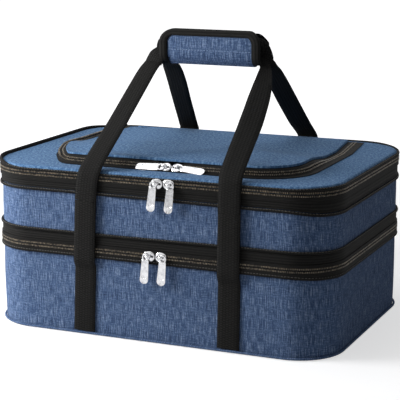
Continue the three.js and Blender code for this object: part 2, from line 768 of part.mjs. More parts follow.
// Upper case
addMesh("upper_shell", ring(-clothThickness, 0, midSplit + halfGap, lidSplit - halfGap), "cloth");
const dividerTop = midSplit + halfGap + dividerThickness;
addMesh("divider_board", slab(inside, midSplit + halfGap, dividerTop), "board");
const upperFoam = dividerTop + clearance;
addMesh("upper_insulation", tray(inside, foamThickness, upperFoam, foamThickness, lidSplit - halfGap), "foam");
const upperFoil = upperFoam + foamThickness + clearance;
addMesh("upper_lining", tray(foilInside, foilThickness, upperFoil, foilThickness, lidSplit - halfGap), "foil");
addMesh("mid_zipper_upper_half", bodyZipperHalf(midSplit, 1, tapeReach, midMeeting), "trim");
const stripOuter = tapeInner - clearance;
addMesh("mid_band_strip", ring(clearance, stripOuter, midSplit + plateReach, midSplit + midStripReach), "trim");
addMesh("mid_band_piping", piping(clearance, pipingDiameter, midSplit + midStripReach + clearance), "trim");
const upperPiping = lidSplit - lidStripReach - clearance - pipingDiameter;
addMesh("upper_band_piping", piping(clearance, pipingDiameter, upperPiping), "trim");
addMesh("upper_band_strip", ring(clearance, stripOuter, lidSplit - lidStripReach, lidSplit - plateReach), "trim");
addMesh("lid_zipper_lower_half", bodyZipperHalf(lidSplit, -1, tapeReach), "trim");
addMesh("lid_hinge_strip", backStrip(lidSplit - tapeReach, lidSplit + lidTapeReach), "trim");

// Lid, with the opening that the flap closes
const lidHole = (bottom, top) => flapPrism(plateReach, flapHinge + halfGap, bottom, top);
const lidShell = solidOf(slab(0, lidSplit + halfGap, lidTop))
  .subtract(solidOf(slab(-clothThickness, lidSplit - cutOverrun, lidTop - clothThickness)))
  .subtract(lidHole(lidSplit - cutOverrun, lidTop + cutOverrun));
addMesh("lid_panel", geometryOf(lidShell), "cloth");
const lidFoamTop = lidTop - clothThickness - clearance;
const lidFoamBottom = lidFoamTop - lidFoamThickness;
const lidFoilBottom = lidFoamBottom - clearance - lidFoilThickness;
for (const [name, bottom, top, finish] of [
  ["lid_insulation", lidFoamBottom, lidFoamTop, "foam"],
  ["lid_lining", lidFoilBottom, lidFoilBottom + lidFoilThickness, "foil"],
]) {
  const hole = lidHole(bottom - cutOverrun, top + cutOverrun);
  addMesh(name, geometryOf(solidOf(slab(inside, bottom, top)).subtract(hole)), finish);
}
addMesh("lid_piping", piping(clearance, pipingDiameter, lidSplit + lidTapeReach + clearance), "trim");
addMesh("lid_zipper_upper_half", bodyZipperHalf(lidSplit, 1, lidTapeReach, lidMeeting), "trim");

// Flap zipper, which lies flat on the lid along the sides and steps up along the front
const flapTape = lidTop + clearance;
const flapBack = flapHinge - clearance;
addMesh("flap_zipper_outer_half", flapZipperHalf(1, flapBack), "trim");
const frontSlope = Math.asin(flapRise / (2 * flapStepReach));
const chainY = -flapFront - flapStepReach * (1 - Math.cos(frontSlope));
const chainZ = flapLevel + flapStepReach * Math.sin(frontSlope);
const roomLength = 2 * (sliderLength + sliderSpacing + runningGap);
const flapSliderRoom = solidOf(
  new THREE.BoxGeometry(roomLength, 2 * plateReach, 2 * cutOverrun)
    .rotateX(frontSlope)
    .translate(flapMeeting, chainY, chainZ),
);
const innerHalf = solidOf(flapZipperHalf(-1, flapBack)).subtract(flapSliderRoom);
addMesh("flap_zipper_inner_half", geometryOf(innerHalf), "trim");

// Flap
const flapPanelBottom = flapTape + tapeThickness + clearance;
const flapTop = flapPanelBottom + clothThickness;
const flapOverlap = tapeReach - plateReach;
const panelLift = flapTop - flapLevel;
const panel = flapDome(flapOverlap, panelLift, flapBack, (z) => z - clothThickness);
addMesh("flap_panel", panel, "cloth");
const foamLift = flapPanelBottom - clearance - flapLevel;
const foamCore = solidOf(flapDome(-clearance, foamLift, flapBack, () => lidTop - clothThickness));
const flapFoam = flapPrism(-plateReach, flapBack, lidFoamBottom, lidTop).add(foamCore);
addMesh("flap_insulation", geometryOf(flapFoam), "foam");
const flapFoil = flapPrism(-plateReach, flapBack, lidFoilBottom, lidFoilBottom + lidFoilThickness);
addMesh("flap_lining", geometryOf(flapFoil), "foil");

// The fold at the hinge steps from the flap's top face down to the lid
const foldTop = flapTop + clearance + tapeThickness;
const fold = new THREE.Shape();
fold.moveTo(flapHinge - flapFold, foldTop - tapeThickness);
fold.lineTo(flapHinge - tapeThickness / 2 + halfGap, foldTop - tapeThickness);
fold.lineTo(flapHinge - tapeThickness / 2 + halfGap, flapTape);
fold.lineTo(flapHinge + flapFold, flapTape);
fold.lineTo(flapHinge + flapFold, flapTape + tapeThickness);
fold.lineTo(flapHinge + tapeThickness / 2 + halfGap, flapTape + tapeThickness);
fold.lineTo(flapHinge + tapeThickness / 2 + halfGap, foldTop);
fold.lineTo(flapHinge - flapFold, foldTop);
const foldMargin = flapTaper + flapTapeReach + clearance;
const foldLength = flapLeft + flapRight - 2 * foldMargin;
const foldOptions = { depth: foldLength, bevelEnabled: false };
const foldGeometry = new THREE.ExtrudeGeometry(fold, foldOptions)
  .rotateX(Math.PI / 2)
  .rotateZ(Math.PI / 2)
  .translate(foldMargin - flapLeft, 0, 0);
addMesh("flap_hinge_fold", foldGeometry, "cloth");

// Sliders: two pairs hang on the front face, and one pair leans on the flap's step
const hanging = { left: 0, right: 0 };
for (const [zipper, meeting, level] of [
  ["mid", midMeeting, midSplit],
  ["lid", lidMeeting, lidSplit],
]) {
  const place = new THREE.Group();
  place.position.set(meeting, frontFace, level);
  place.rotation.x = Math.PI / 2;
  root.add(place);
  addSliders(zipper, place, hanging);
}
const chainDepth = (coilInner + coilOuter) / 2;
const onStep = new THREE.Group();
onStep.rotation.x = frontSlope;
onStep.position.set(
  flapMeeting,
  chainY + chainDepth * Math.sin(frontSlope),
  chainZ - chainDepth * Math.cos(frontSlope),
);
root.add(onStep);
addSliders("flap", onStep, { left: -Math.PI / 2, right: Math.PI / 2 - pullDroop });

// Webbing runs on the faces
const runs = {
  front_web_sewn_left: [-1, frontLeftFoot, frontLeftShoulder, webFoot, webStitch],
  front_web_sewn_right: [-1, frontRightFoot, frontRightShoulder, webFoot, webStitch],
  front_web_low_left: [-1, frontLeftFoot, frontLeftShoulder, webStitch + clearance, webLink],
  front_web_low_right: [-1, frontRightFoot, frontRightShoulder, webStitch + clearance, webLink],
  front_web_high_left: [-1, frontLeftFoot, frontLeftShoulder, webLink + clearance, webShoulder],
  front_web_high_right: [-1, frontRightFoot, frontRightShoulder, webLink + clearance, webShoulder],
  back_web_sewn_left: [1, backLeftRun, backLeftRun, webFoot, midSplit - halfGap],
  back_web_sewn_right: [1, backRightRun, backRightRun, webFoot, midSplit - halfGap],
  back_web_riser_left: [1, backLeftRun, backLeftRun, midSplit + halfGap, lidSplit - halfGap],
  back_web_riser_right: [1, backRightRun, backRightRun, midSplit + halfGap, lidSplit - halfGap],
};
for (const [name, run] of Object.entries(runs)) addMesh(name, faceRun(...run), "web");

// Handle loops and the grip that wraps both
const frontFeet = [frontLeftShoulder, frontRightShoulder];
const frontHands = [gripLeft + frontLeftInset, gripRight - rightInset];
const frontBottom = webShoulder + clearance;
const frontLoop = loopStations(-1, frontFeet, frontBottom, frontHands, frontLeftShares);
addMesh("front_handle_loop", ribbon(frontLoop), "web");
const backHands = [gripLeft + backLeftInset, gripRight - rightInset];
const backFeet = [backLeftRun, backRightRun];
const backLoop = loopStations(1, backFeet, lidSplit + halfGap, backHands, backLeftShares);
addMesh("back_handle_loop", ribbon(backLoop), "web");

const room = 4 * handSlotGap;
const roomFor = (loop) => solidOf(ribbon(loop, webWidth + room, webThickness + room));
const frontWebRoom = roomFor(frontLoop);
const frontRoom = frontWebRoom.add(frontWebRoom.translate([0, handSpacing, 0]));
addMesh("grip_pad", geometryOf(gripHalf(1, 0, 0).subtract(roomFor(backLoop))), "cloth");
const coverPanel = gripHalf(-1, bindingWidth, 0).subtract(frontRoom);
addMesh("grip_cover", geometryOf(coverPanel), "cloth");
const coverBinding = gripHalf(-1, 0, bindingThickness)
  .subtract(gripHalf(-1, bindingWidth - clearance, bindingThickness + cutOverrun))
  .subtract(frontRoom);
addMesh("grip_binding", geometryOf(coverBinding), "trim");

export default root;
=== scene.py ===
"""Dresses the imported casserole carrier: cloth, bands, zippers, webbing, grip, linings and studio.

Every length is in metres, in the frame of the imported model: +Z up, the front face towards -Y.
"""

from __future__ import annotations

import logging
import math
from dataclasses import dataclass, field
from enum import Enum
from typing import Any, Callable, Iterable, Mapping, Sequence

import bmesh
import bpy
from mathutils import Matrix, Vector, noise

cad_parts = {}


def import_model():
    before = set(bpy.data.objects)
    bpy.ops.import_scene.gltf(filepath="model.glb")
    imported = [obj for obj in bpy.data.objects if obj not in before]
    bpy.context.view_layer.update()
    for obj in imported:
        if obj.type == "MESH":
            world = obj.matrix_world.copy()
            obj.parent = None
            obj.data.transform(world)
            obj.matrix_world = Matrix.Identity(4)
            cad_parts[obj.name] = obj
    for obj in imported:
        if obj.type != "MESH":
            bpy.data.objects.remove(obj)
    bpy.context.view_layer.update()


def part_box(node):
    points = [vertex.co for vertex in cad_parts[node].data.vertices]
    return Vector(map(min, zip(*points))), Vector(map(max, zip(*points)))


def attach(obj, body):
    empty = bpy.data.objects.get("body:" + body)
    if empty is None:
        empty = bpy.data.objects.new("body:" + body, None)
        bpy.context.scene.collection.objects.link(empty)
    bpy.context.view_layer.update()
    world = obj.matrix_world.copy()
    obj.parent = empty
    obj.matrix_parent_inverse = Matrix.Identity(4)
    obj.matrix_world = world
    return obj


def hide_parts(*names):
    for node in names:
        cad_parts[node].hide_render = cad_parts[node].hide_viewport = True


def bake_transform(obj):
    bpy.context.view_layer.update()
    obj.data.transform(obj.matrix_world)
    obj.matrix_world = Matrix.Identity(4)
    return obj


LOG = logging.getLogger("carrier")

Point = tuple[float, float]
Color = tuple[float, float, float]


class Side(Enum):
    """The carrier's left and right, as someone facing its front sees them."""

    LEFT = -1
    RIGHT = 1


class Face(Enum):
    """The face that a run of webbing lies on."""

    FRONT = -1
    BACK = 1


@dataclass(frozen=True)
class BodySizes:
    """Sizes that several sub-assemblies share."""

    width: float = 0.406
    depth: float = 0.290
    corner: float = 0.056
    near_corner: float = 0.0495
    chain_rise: float = 0.0009
    mid: float = 0.0965
    lid: float = 0.1765
    top: float = 0.1844
    gap: float = 0.0003
    cord: float = 0.0035
    tape_in: float = 0.0023
    tape_out: float = 0.0031
    coil_in: float = 0.0019
    coil_out: float = 0.0035
    strip_out: float = 0.0020
    reach: float = 0.0068
    web: float = 0.0254
    web_thick: float = 0.0020


SIZES = BodySizes()
TOOTH = 0.00115
TOOTH_TAPER = 0.62


@dataclass(frozen=True)
class Station:
    """One place on an outline: its point, outward normal and running length."""

    x: float
    y: float
    nx: float
    ny: float
    s: float

    def out(self, offset: float, z: float) -> Vector:
        """Returns the point this far outside the outline at a height."""
        return Vector((self.x + self.nx * offset, self.y + self.ny * offset, z))

    def along(self) -> Vector:
        """Returns the line's direction."""
        return Vector((-self.ny, self.nx, 0))


class Outline:
    """A line in plan made of straights and arcs, with outward normals."""

    def __init__(self, stations: Sequence[Station], closed: bool) -> None:
        """Keeps the stations.

        Args:
            stations: Places along the line, in order.
            closed: Whether the last joins the first.
        """
        self.stations = list(stations)
        self.closed = closed

    @classmethod
    def trace(cls, corners: Sequence[tuple[float, float, float]], closed: bool,
              step: float = 0.008) -> Outline:
        """Traces a polygon with rounded corners.

        Args:
            corners: Each corner's x, y and radius, counter-clockwise seen from above.
            closed: Whether the polygon closes.
            step: Longest straight between stations.

        Returns:
            The outline.
        """
        points: list[tuple[Vector, Vector]] = []
        count = len(corners)
        for i, (x, y, radius) in enumerate(corners):
            here = Vector((x, y))
            before = Vector(corners[i - 1][:2]) if closed or i > 0 else None
            after = Vector(corners[(i + 1) % count][:2]) if closed or i < count - 1 else None
            if before is None or after is None or radius == 0:
                for other, sign in ((before, 1), (after, -1)):
                    if other is not None:
                        along = (here - other).normalized() * sign
                        points.append((here, Vector((along.y, -along.x))))
                continue
            into, away = (here - before).normalized(), (after - here).normalized()
            turn = into.angle_signed(away)
            setback = radius * math.tan(abs(turn) / 2)
            start = here - into * setback
            normal = Vector((into.y, -into.x))
            centre = start - normal * radius
            steps = max(4, round(abs(turn) * radius / 0.0045))
            for k in range(steps + 1):
                spin = Matrix.Rotation(abs(turn) * k / steps, 2)
                direction = spin @ normal
                points.append((centre + direction * radius, direction))
        return cls(cls._fill(points, closed, step), closed)

    @staticmethod
    def _fill(points: Sequence[tuple[Vector, Vector]], closed: bool, step: float) -> list[Station]:
        """Adds stations along the straights.

        Args:
            points: Traced points with their normals.
            closed: Whether the line closes.
            step: Longest straight between stations.

        Returns:
            The stations.
        """
        stations: list[Station] = []
        run = 0.0
        last = len(points) if closed else len(points) - 1
        for i in range(last):
            (p, n), (q, m) = points[i], points[(i + 1) % len(points)]
            length = (q - p).length
            if length < 1e-7:
                continue
            steps = max(1, math.ceil(length / step))
            for k in range(steps):
                share = k / steps
                place, normal = p.lerp(q, share), n.lerp(m, share).normalized()
                stations.append(Station(place.x, place.y, normal.x, normal.y, run + length * share))
            run += length
        if not closed:
            p, n = points[-1]
            stations.append(Station(p.x, p.y, n.x, n.y, run))
        return stations

    def part(self, keep: Callable[[Station], bool]) -> Outline:
        """Returns the open stretch of a closed outline where keep holds.

        Args:
            keep: Says whether a station belongs to it.

        Returns:
            The stretch, with running lengths from its start.
        """
        count = len(self.stations)
        flags = [keep(st) for st in self.stations]
        start = next(i for i in range(count) if flags[i] and not flags[i - 1])
        chosen = []
        for k in range(count):
            if not flags[(start + k) % count]:
                break
            chosen.append(self.stations[(start + k) % count])
        run, fixed = 0.0, []
        for i, st in enumerate(chosen):
            if i:
                run += math.hypot(st.x - chosen[i - 1].x, st.y - chosen[i - 1].y)
            fixed.append(Station(st.x, st.y, st.nx, st.ny, run))
        return Outline(fixed, False)

    def moved(self, offset: float) -> Outline:
        """Returns the outline moved outwards by an offset."""
        moved = [Station(*st.out(offset, 0)[:2], st.nx, st.ny, st.s) for st in self.stations]
        return Outline(moved, self.closed)

    def total(self) -> float:
        """Returns the closed line's whole length."""
        first, last = self.stations[0], self.stations[-1]
        return last.s + math.hypot(first.x - last.x, first.y - last.y)

    def along(self, pitch: float, start: float = 0.0) -> Iterable[Station]:
        """Yields places at an even pitch along the outline.

        Args:
            pitch: Distance between places.
            start: Length of the first place.
        """
        line = list(self.stations)
        if self.closed:
            first = line[0]
            line.append(Station(first.x, first.y, first.nx, first.ny, self.total()))
        target = start
        for a, b in zip(line, line[1:]):
            while target < b.s:
                share = (target - a.s) / max(b.s - a.s, 1e-9)
                values = [u + (v - u) * share for u, v in zip((a.x, a.y, a.nx, a.ny), (b.x, b.y, b.nx, b.ny))]
                size = math.hypot(values[2], values[3])
                yield Station(values[0], values[1], values[2] / size, values[3] / size, target)
                target += pitch

    def reach(self, angle: float, centre: Point = (0.0, 0.0)) -> float:
        """Returns how far a ray from the centre runs to the outline.

        Args:
            angle: The ray's direction, from X.
            centre: Where it starts.

        Returns:
            The distance, or 0 where it meets nothing.
        """
        dx, dy = math.cos(angle), math.sin(angle)
        best = 0.0
        line = self.stations + ([self.stations[0]] if self.closed else [])
        for a, b in zip(line, line[1:]):
            ax, ay = a.x - centre[0], a.y - centre[1]
            ex, ey = b.x - a.x, b.y - a.y
            det = dx * -ey + dy * ex
            if abs(det) < 1e-12:
                continue
            t = (ax * -ey + ay * ex) / det
            u = (dx * ay - dy * ax) / det
            if t > 0 and -1e-6 <= u <= 1 + 1e-6:
                best = max(best, t)
        return best


def body_outline() -> Outline:
    """Returns the closed outline of the carrier's body."""
    x, y, r = SIZES.width / 2, SIZES.depth / 2, SIZES.corner
    return Outline.trace([(-x, y, r), (-x, -y, r), (x, -y, SIZES.near_corner), (x, y, r)], True)


def chain_outline() -> Outline:
    """Returns the stretch of the body's outline that a zipper follows."""
    edge = SIZES.width / 2 - SIZES.corner
    return body_outline().part(lambda st: not (st.ny > 0.999 and abs(st.x) < edge - 0.0005))


def front_view(p: Vector) -> Point:
    """Returns a point's place as the front shows it."""
    return p.x, p.z


def side_view(p: Vector) -> Point:
    """Returns a point's place as the side shows it."""
    return p.y, p.z


def top_view(p: Vector) -> Point:
    """Returns a point's place as the top shows it."""
    return p.x, p.y


class MeshMaker:
    """Collects vertices, faces and texture coordinates, and makes a piece of them."""

    def __init__(self) -> None:
        """Starts with nothing."""
        self.points: list[Vector] = []
        self.faces: list[tuple[int, ...]] = []
        self.uvs: list[tuple[Point, ...]] = []

    def grid(self, rows: Sequence[Sequence[Vector]], us: Sequence[float], vs: Sequence[float],
             wrap_rows: float | None = None, wrap_columns: float | None = None) -> None:
        """Adds a grid of quads.

        Args:
            rows: Points, a row for each place along.
            us: Texture coordinate of each row.
            vs: Texture coordinate of each column.
            wrap_rows: Coordinate at which the last row meets the first, if it does.
            wrap_columns: The same for the columns.
        """
        base, wide = len(self.points), len(rows[0])
        for row in rows:
            self.points.extend(row)
        us, vs = list(us), list(vs)
        if wrap_rows is not None:
            us.append(wrap_rows)
        if wrap_columns is not None:
            vs.append(wrap_columns)
        for i in range(len(us) - 1):
            for j in range(len(vs) - 1):
                corners = ((i, j), (i + 1, j), (i + 1, j + 1), (i, j + 1))
                self.faces.append(tuple(base + (a % len(rows)) * wide + b % wide for a, b in corners))
                self.uvs.append(tuple((us[a], vs[b]) for a, b in corners))

    def cap(self, indices: Sequence[int], flat: Callable[[Vector], Point]) -> None:
        """Closes a rim with one face.

        Args:
            indices: The rim's points.
            flat: Gives a point's texture coordinates.
        """
        self.faces.append(tuple(indices))
        self.uvs.append(tuple(flat(self.points[i]) for i in indices))

    def tube(self, rows: Sequence[Sequence[Vector]], us: Sequence[float], around: Sequence[float],
             flat: Callable[[Vector], Point] = front_view) -> None:
        """Adds closed sections joined in a row, with a face at each end.

        Args:
            rows: Each section's points.
            us: Texture coordinate of each section.
            around: Texture coordinate of each point, and of the first one reached again.
            flat: Gives a point's texture coordinates on the end faces.
        """
        first, wide = len(self.points), len(rows[0])
        self.grid(rows, us, around[:-1], None, around[-1])
        for k in (0, len(rows) - 1):
            self.cap(range(first + wide * k, first + wide * (k + 1)), flat)

    def wheel(self, rows: Sequence[Sequence[Vector]], tip: int | None) -> None:
        """Adds closed sections that run round a centre, with texture coordinates from above.

        Args:
            rows: Each ray's section, inwards along its top and back along its bottom.
            tip: Its last point on top, where faces close the middle, or None where a hole stays.
        """
        wide, count = len(rows[0]), len(rows)
        for row in rows:
            self.points.extend(row)
        for i in range(count):
            here, there = i * wide, (i + 1) % count * wide
            for j in range(wide):
                if j != tip:
                    k = (j + 1) % wide
                    self.cap((here + j, there + j, there + k, here + k), top_view)
        if tip is not None:
            for j in (tip, tip + 1):
                self.cap(range(j, wide * count, wide), top_view)

    def block(self, frame: Matrix, size: Sequence[float], taper: float = 1.0) -> None:
        """Adds a small block, narrower at its outer side.

        Args:
            frame: Its place, with Z towards its outer side.
            size: Its full length, width and height.
            taper: The outer side's share of the inner side.
        """
        base = len(self.points)
        for z, k in ((-0.5, 1.0), (0.5, taper)):
            for x, y in ((-0.5, -0.5), (0.5, -0.5), (0.5, 0.5), (-0.5, 0.5)):
                self.points.append(frame @ Vector((x * size[0] * k, y * size[1] * k, z * size[2])))
        for face in ((0, 3, 2, 1), (4, 5, 6, 7), (0, 1, 5, 4), (1, 2, 6, 5), (2, 3, 7, 6), (3, 0, 4, 7)):
            self.faces.append(tuple(base + i for i in face))
            self.uvs.append(((0, 0), (size[0], 0), (size[0], size[1]), (0, size[1])))

    def make(self, name: str, smooth: float = 40.0) -> bpy.types.Object:
        """Makes the piece.

        Args:
            name: The piece's name.
            smooth: Edges sharper than this many degrees stay sharp.

        Returns:
            The new object, linked to the scene.
        """
        mesh = bpy.data.meshes.new(name)
        mesh.from_pydata([tuple(p) for p in self.points], [], self.faces)
        layer = mesh.uv_layers.new(name="UVMap")
        flat = [value for face in self.uvs for uv in face for value in uv]
        layer.data.foreach_set("uv", flat)
        work = bmesh.new()
        work.from_mesh(mesh)
        bmesh.ops.recalc_face_normals(work, faces=work.faces)
        work.to_mesh(mesh)
        work.free()
        mesh.shade_smooth()
        mesh.set_sharp_from_angle(angle=math.radians(smooth))
        return link(name, mesh)


def link(name: str, data: bpy.types.ID) -> bpy.types.Object:
    """Makes an object and links it to the scene.

    Args:
        name: Its name.
        data: Its mesh, camera or lamp.

    Returns:
        The new object.
    """
    made = bpy.data.objects.new(name, data)
    bpy.context.scene.collection.objects.link(made)
    return made


def spread(low: float, high: float, count: int) -> list[float]:
    """Returns values from low to high at even steps."""
    return [low + (high - low) * k / count for k in range(count + 1)]


def clamp(value: float) -> float:
    """Returns a value held between 0 and 1."""
    return min(1.0, max(0.0, value))


def ease(value: float) -> float:
    """Returns a smooth step from 0 to 1."""
    t = clamp(value)
    return t * t * (3 - 2 * t)


def frame_at(place: Vector, along: Vector, normal: Vector) -> Matrix:
    """Returns a frame at a place.

    Args:
        place: Its origin.
        along: Its X.
        normal: Its Z.

    Returns:
        The frame.
    """
    frame = Matrix((along, normal.cross(along), normal)).transposed().to_4x4()
    frame.translation = place
    return frame


def lengths(points: Sequence[Point]) -> list[float]:
    """Returns the running length at each point.

    Args:
        points: Points in a plane.

    Returns:
        A length for each.
    """
    run = [0.0]
    for (a, b), (c, d) in zip(points, points[1:]):
        run.append(run[-1] + math.hypot(c - a, d - b))
    return run


def girths(section: Sequence[Point]) -> list[float]:
    """Returns the running length at each point of a closed section, and back at its first."""
    return lengths([*section, section[0]])


def circle(offset: float, z: float, radius: float, count: int = 10) -> list[Point]:
    """Returns a round profile about a point."""
    turns = [math.tau * k / count for k in range(count)]
    return [(offset + radius * math.cos(t), z + radius * math.sin(t)) for t in turns]


def slab(o0: float, z0: float, o1: float, z1: float, edge: float = 0.0003) -> list[Point]:
    """Returns a rectangular profile with softened corners.

    Args:
        o0: Its inner side.
        z0: Its lower side.
        o1: Its outer side.
        z1: Its upper side.
        edge: How much each corner is cut.

    Returns:
        Offsets and heights round it.
    """
    near, far, low, high = o0 + edge, o1 - edge, z0 + edge, z1 - edge
    return [(near, z0), (far, z0), (o1, low), (o1, high), (far, z1), (near, z1), (o0, high), (o0, low)]


def sweep(name: str, outline: Outline, profile: Sequence[Point], smooth: float = 40.0,
          shape: Callable[[Vector, Station], Vector] | None = None) -> bpy.types.Object:
    """Sweeps a closed profile along an outline.

    Args:
        name: The piece's name.
        outline: The line that it follows.
        profile: Offsets outwards and heights, round the section.
        smooth: Edges sharper than this many degrees stay sharp.
        shape: Moves a point, given with its station.

    Returns:
        The new piece.
    """
    maker = MeshMaker()
    rows = [[st.out(o, z) for o, z in profile] for st in outline.stations]
    if shape:
        rows = [[shape(p, st) for p in row] for row, st in zip(rows, outline.stations)]
    around = girths(profile)
    runs = [st.s for st in outline.stations]
    if outline.closed:
        maker.grid(rows, runs, around[:-1], outline.total(), around[-1])
    else:
        maker.tube(rows, runs, around)
    return maker.make(name, smooth)


def bar(name: str, section: Sequence[Point], xs: Sequence[float], smooth: float = 40.0) -> bpy.types.Object:
    """Makes a bar along X.

    Args:
        name: The piece's name.
        section: Depths and heights round its section.
        xs: Places along it.
        smooth: Edges sharper than this many degrees stay sharp.

    Returns:
        The new piece.
    """
    maker = MeshMaker()
    rows = [[Vector((x, y, z)) for y, z in section] for x in xs]
    maker.tube(rows, xs, girths(section), side_view)
    return maker.make(name, smooth)


def plate(name: str, outer: Outline, inner: Outline | None,
          height: Callable[[float, float, float], float], thickness: float, rings: int = 10,
          rays: int = 160, smooth: float = 40.0) -> bpy.types.Object:
    """Makes a flat or domed plate, with or without a hole.

    Args:
        name: The piece's name.
        outer: Its outer edge.
        inner: The hole's edge, or None.
        height: Gives its upper face's height from x, y and the share from outer to inner edge.
        thickness: How thick it is, downwards.
        rings: Rings of faces between the edges.
        rays: Faces round it.
        smooth: Edges sharper than this many degrees stay sharp.

    Returns:
        The new piece.
    """
    centre = (0.0, 0.01)
    maker = MeshMaker()
    angles = [math.tau * k / rays for k in range(rays)]
    far = [outer.reach(a, centre) for a in angles]
    near = [inner.reach(a, centre) for a in angles] if inner else [f * 0.02 for f in far]
    rows = []
    for a, f, n in zip(angles, far, near):
        top = []
        for j in range(rings + 1):
            share = (j / rings) ** (1.0 if inner else 1.25)
            r = f + (n - f) * share
            x, y = centre[0] + r * math.cos(a), centre[1] + r * math.sin(a)
            top.append(Vector((x, y, height(x, y, share))))
        rows.append(top + [p - Vector((0, 0, thickness)) for p in reversed(top)])
    maker.wheel(rows, None if inner else rings)
    return maker.make(name, smooth)


def smooth_line(points: Sequence[Vector], step: float) -> list[Vector]:
    """Returns a Catmull-Rom line through points.

    Args:
        points: The points.
        step: About how far apart the line's points are.

    Returns:
        The line's points, the given ones among them.
    """
    padded = [points[0] * 2 - points[1], *points, points[-1] * 2 - points[-2]]
    line: list[Vector] = []
    for a, b, c, d in zip(padded, padded[1:], padded[2:], padded[3:]):
        knots = [0.0]
        for p, q in ((a, b), (b, c), (c, d)):
            knots.append(knots[-1] + max((q - p).length, 1e-9) ** 0.5)
        t0, t1, t2, t3 = knots
        steps = max(1, round((c - b).length / step))
        for k in range(steps):
            t = t1 + (t2 - t1) * k / steps
            ab = a * ((t1 - t) / (t1 - t0)) + b * ((t - t0) / (t1 - t0))
            bc = b * ((t2 - t) / (t2 - t1)) + c * ((t - t1) / (t2 - t1))
            cd = c * ((t3 - t) / (t3 - t2)) + d * ((t - t2) / (t3 - t2))
            abc = ab * ((t2 - t) / (t2 - t0)) + bc * ((t - t0) / (t2 - t0))
            bcd = bc * ((t3 - t) / (t3 - t1)) + cd * ((t - t1) / (t3 - t1))
            line.append(abc * ((t2 - t) / (t2 - t1)) + bcd * ((t - t1) / (t2 - t1)))
    line.append(points[-1].copy())
    return line


@dataclass
class Ribbon:
    """Webbing along a line, with the direction of its width at each place."""

    middles: list[Vector]
    across: list[Vector]
    shares: list[float] = field(default_factory=list)
    width: float = SIZES.web
    thick: float = SIZES.web_thick

    @classmethod
    def through(cls, places: Sequence[tuple[Vector, Vector, float]], step: float = 0.003) -> Ribbon:
        """Returns a smooth ribbon through places.

        Args:
            places: Each a middle, a width direction and a share of the width.
            step: About how far apart its sections are.

        Returns:
            The ribbon.
        """
        line, across, shares = [], [], []
        middles = [p for p, _, _ in places]
        for i in range(len(places) - 1):
            window = middles[max(0, i - 1): i + 3]
            part = smooth_line(window, step)
            first = part.index(min(part, key=lambda p: (p - middles[i]).length))
            last = part.index(min(part, key=lambda p: (p - middles[i + 1]).length))
            span = part[first:last]
            for k, p in enumerate(span):
                line.append(p)
                across.append(places[i][1].lerp(places[i + 1][1], k / len(span)).normalized())
                shares.append(places[i][2] + (places[i + 1][2] - places[i][2]) * k / len(span))
        line.append(middles[-1].copy())
        across.append(places[-1][1].normalized())
        shares.append(places[-1][2])
        return cls(line, across, shares)

    def stretch(self, keep: Callable[[int, Vector], bool]) -> Ribbon:
        """Returns the part whose places keep says to keep."""
        chosen = [i for i, p in enumerate(self.middles) if keep(i, p)]
        return Ribbon(*([values[i] for i in chosen] for values in (self.middles, self.across, self.shares)))

    def piece(self, name: str, start: float = 0.0) -> bpy.types.Object:
        """Makes the webbing.

        Args:
            name: The piece's name.
            start: Running length at its first place, so that its weave goes on from the last piece.

        Returns:
            The new piece.
        """
        w, t, e = self.width / 2, self.thick / 2, 0.0005
        section = [(-w, -t + e), (-w + e, -t), (-w / 2, -t), (0, -t), (w / 2, -t), (w - e, -t), (w, -t + e),
                   (w, t - e), (w - e, t), (w / 2, t), (0, t), (-w / 2, t), (-w + e, t), (-w, t - e)]
        rows, us, run = [], [], start
        count = len(self.middles)
        for i, middle in enumerate(self.middles):
            before, after = self.middles[max(0, i - 1)], self.middles[min(count - 1, i + 1)]
            along = (after - before).normalized()
            across = (self.across[i] - along * self.across[i].dot(along)).normalized()
            out = along.cross(across)
            share = self.shares[i] if self.shares else 1.0
            rows.append([middle + across * (a * share) + out * b for a, b in section])
            if i:
                run += (middle - self.middles[i - 1]).length
            us.append(run)
        maker = MeshMaker()
        maker.tube(rows, us, girths(section))
        return maker.make(name, 50)


class Signal:
    """A shader value that Python's operators work on."""

    def __init__(self, shader: Shader, socket: Any) -> None:
        """Wraps a socket.

        Args:
            shader: The builder of its tree.
            socket: An output socket.
        """
        self.shader = shader
        self.socket = socket

    def _math(self, operation: str, *values: Any) -> Signal:
        """Returns a Math node's result."""
        return self.shader.node("ShaderNodeMath", {"operation": operation}, dict(enumerate(values)))

    def __add__(self, other: Any) -> Signal:
        """Adds."""
        return self._math("ADD", self, other)

    def __radd__(self, other: Any) -> Signal:
        """Adds to a number."""
        return self._math("ADD", other, self)

    def __sub__(self, other: Any) -> Signal:
        """Subtracts."""
        return self._math("SUBTRACT", self, other)

    def __rsub__(self, other: Any) -> Signal:
        """Subtracts from a number."""
        return self._math("SUBTRACT", other, self)

    def __mul__(self, other: Any) -> Signal:
        """Multiplies."""
        return self._math("MULTIPLY", self, other)

    def __rmul__(self, other: Any) -> Signal:
        """Multiplies a number."""
        return self._math("MULTIPLY", other, self)

    def sine(self) -> Signal:
        """Returns the sine."""
        return self._math("SINE", self)

    def size(self) -> Signal:
        """Returns the absolute value."""
        return self._math("ABSOLUTE", self)

    def ramp(self, low: float, high: float) -> Signal:
        """Returns 0 below low, 1 above high, and a smooth step between."""
        values = {"Value": self, "From Min": low, "From Max": high}
        return self.shader.node("ShaderNodeMapRange", {"interpolation_type": "SMOOTHSTEP"}, values)


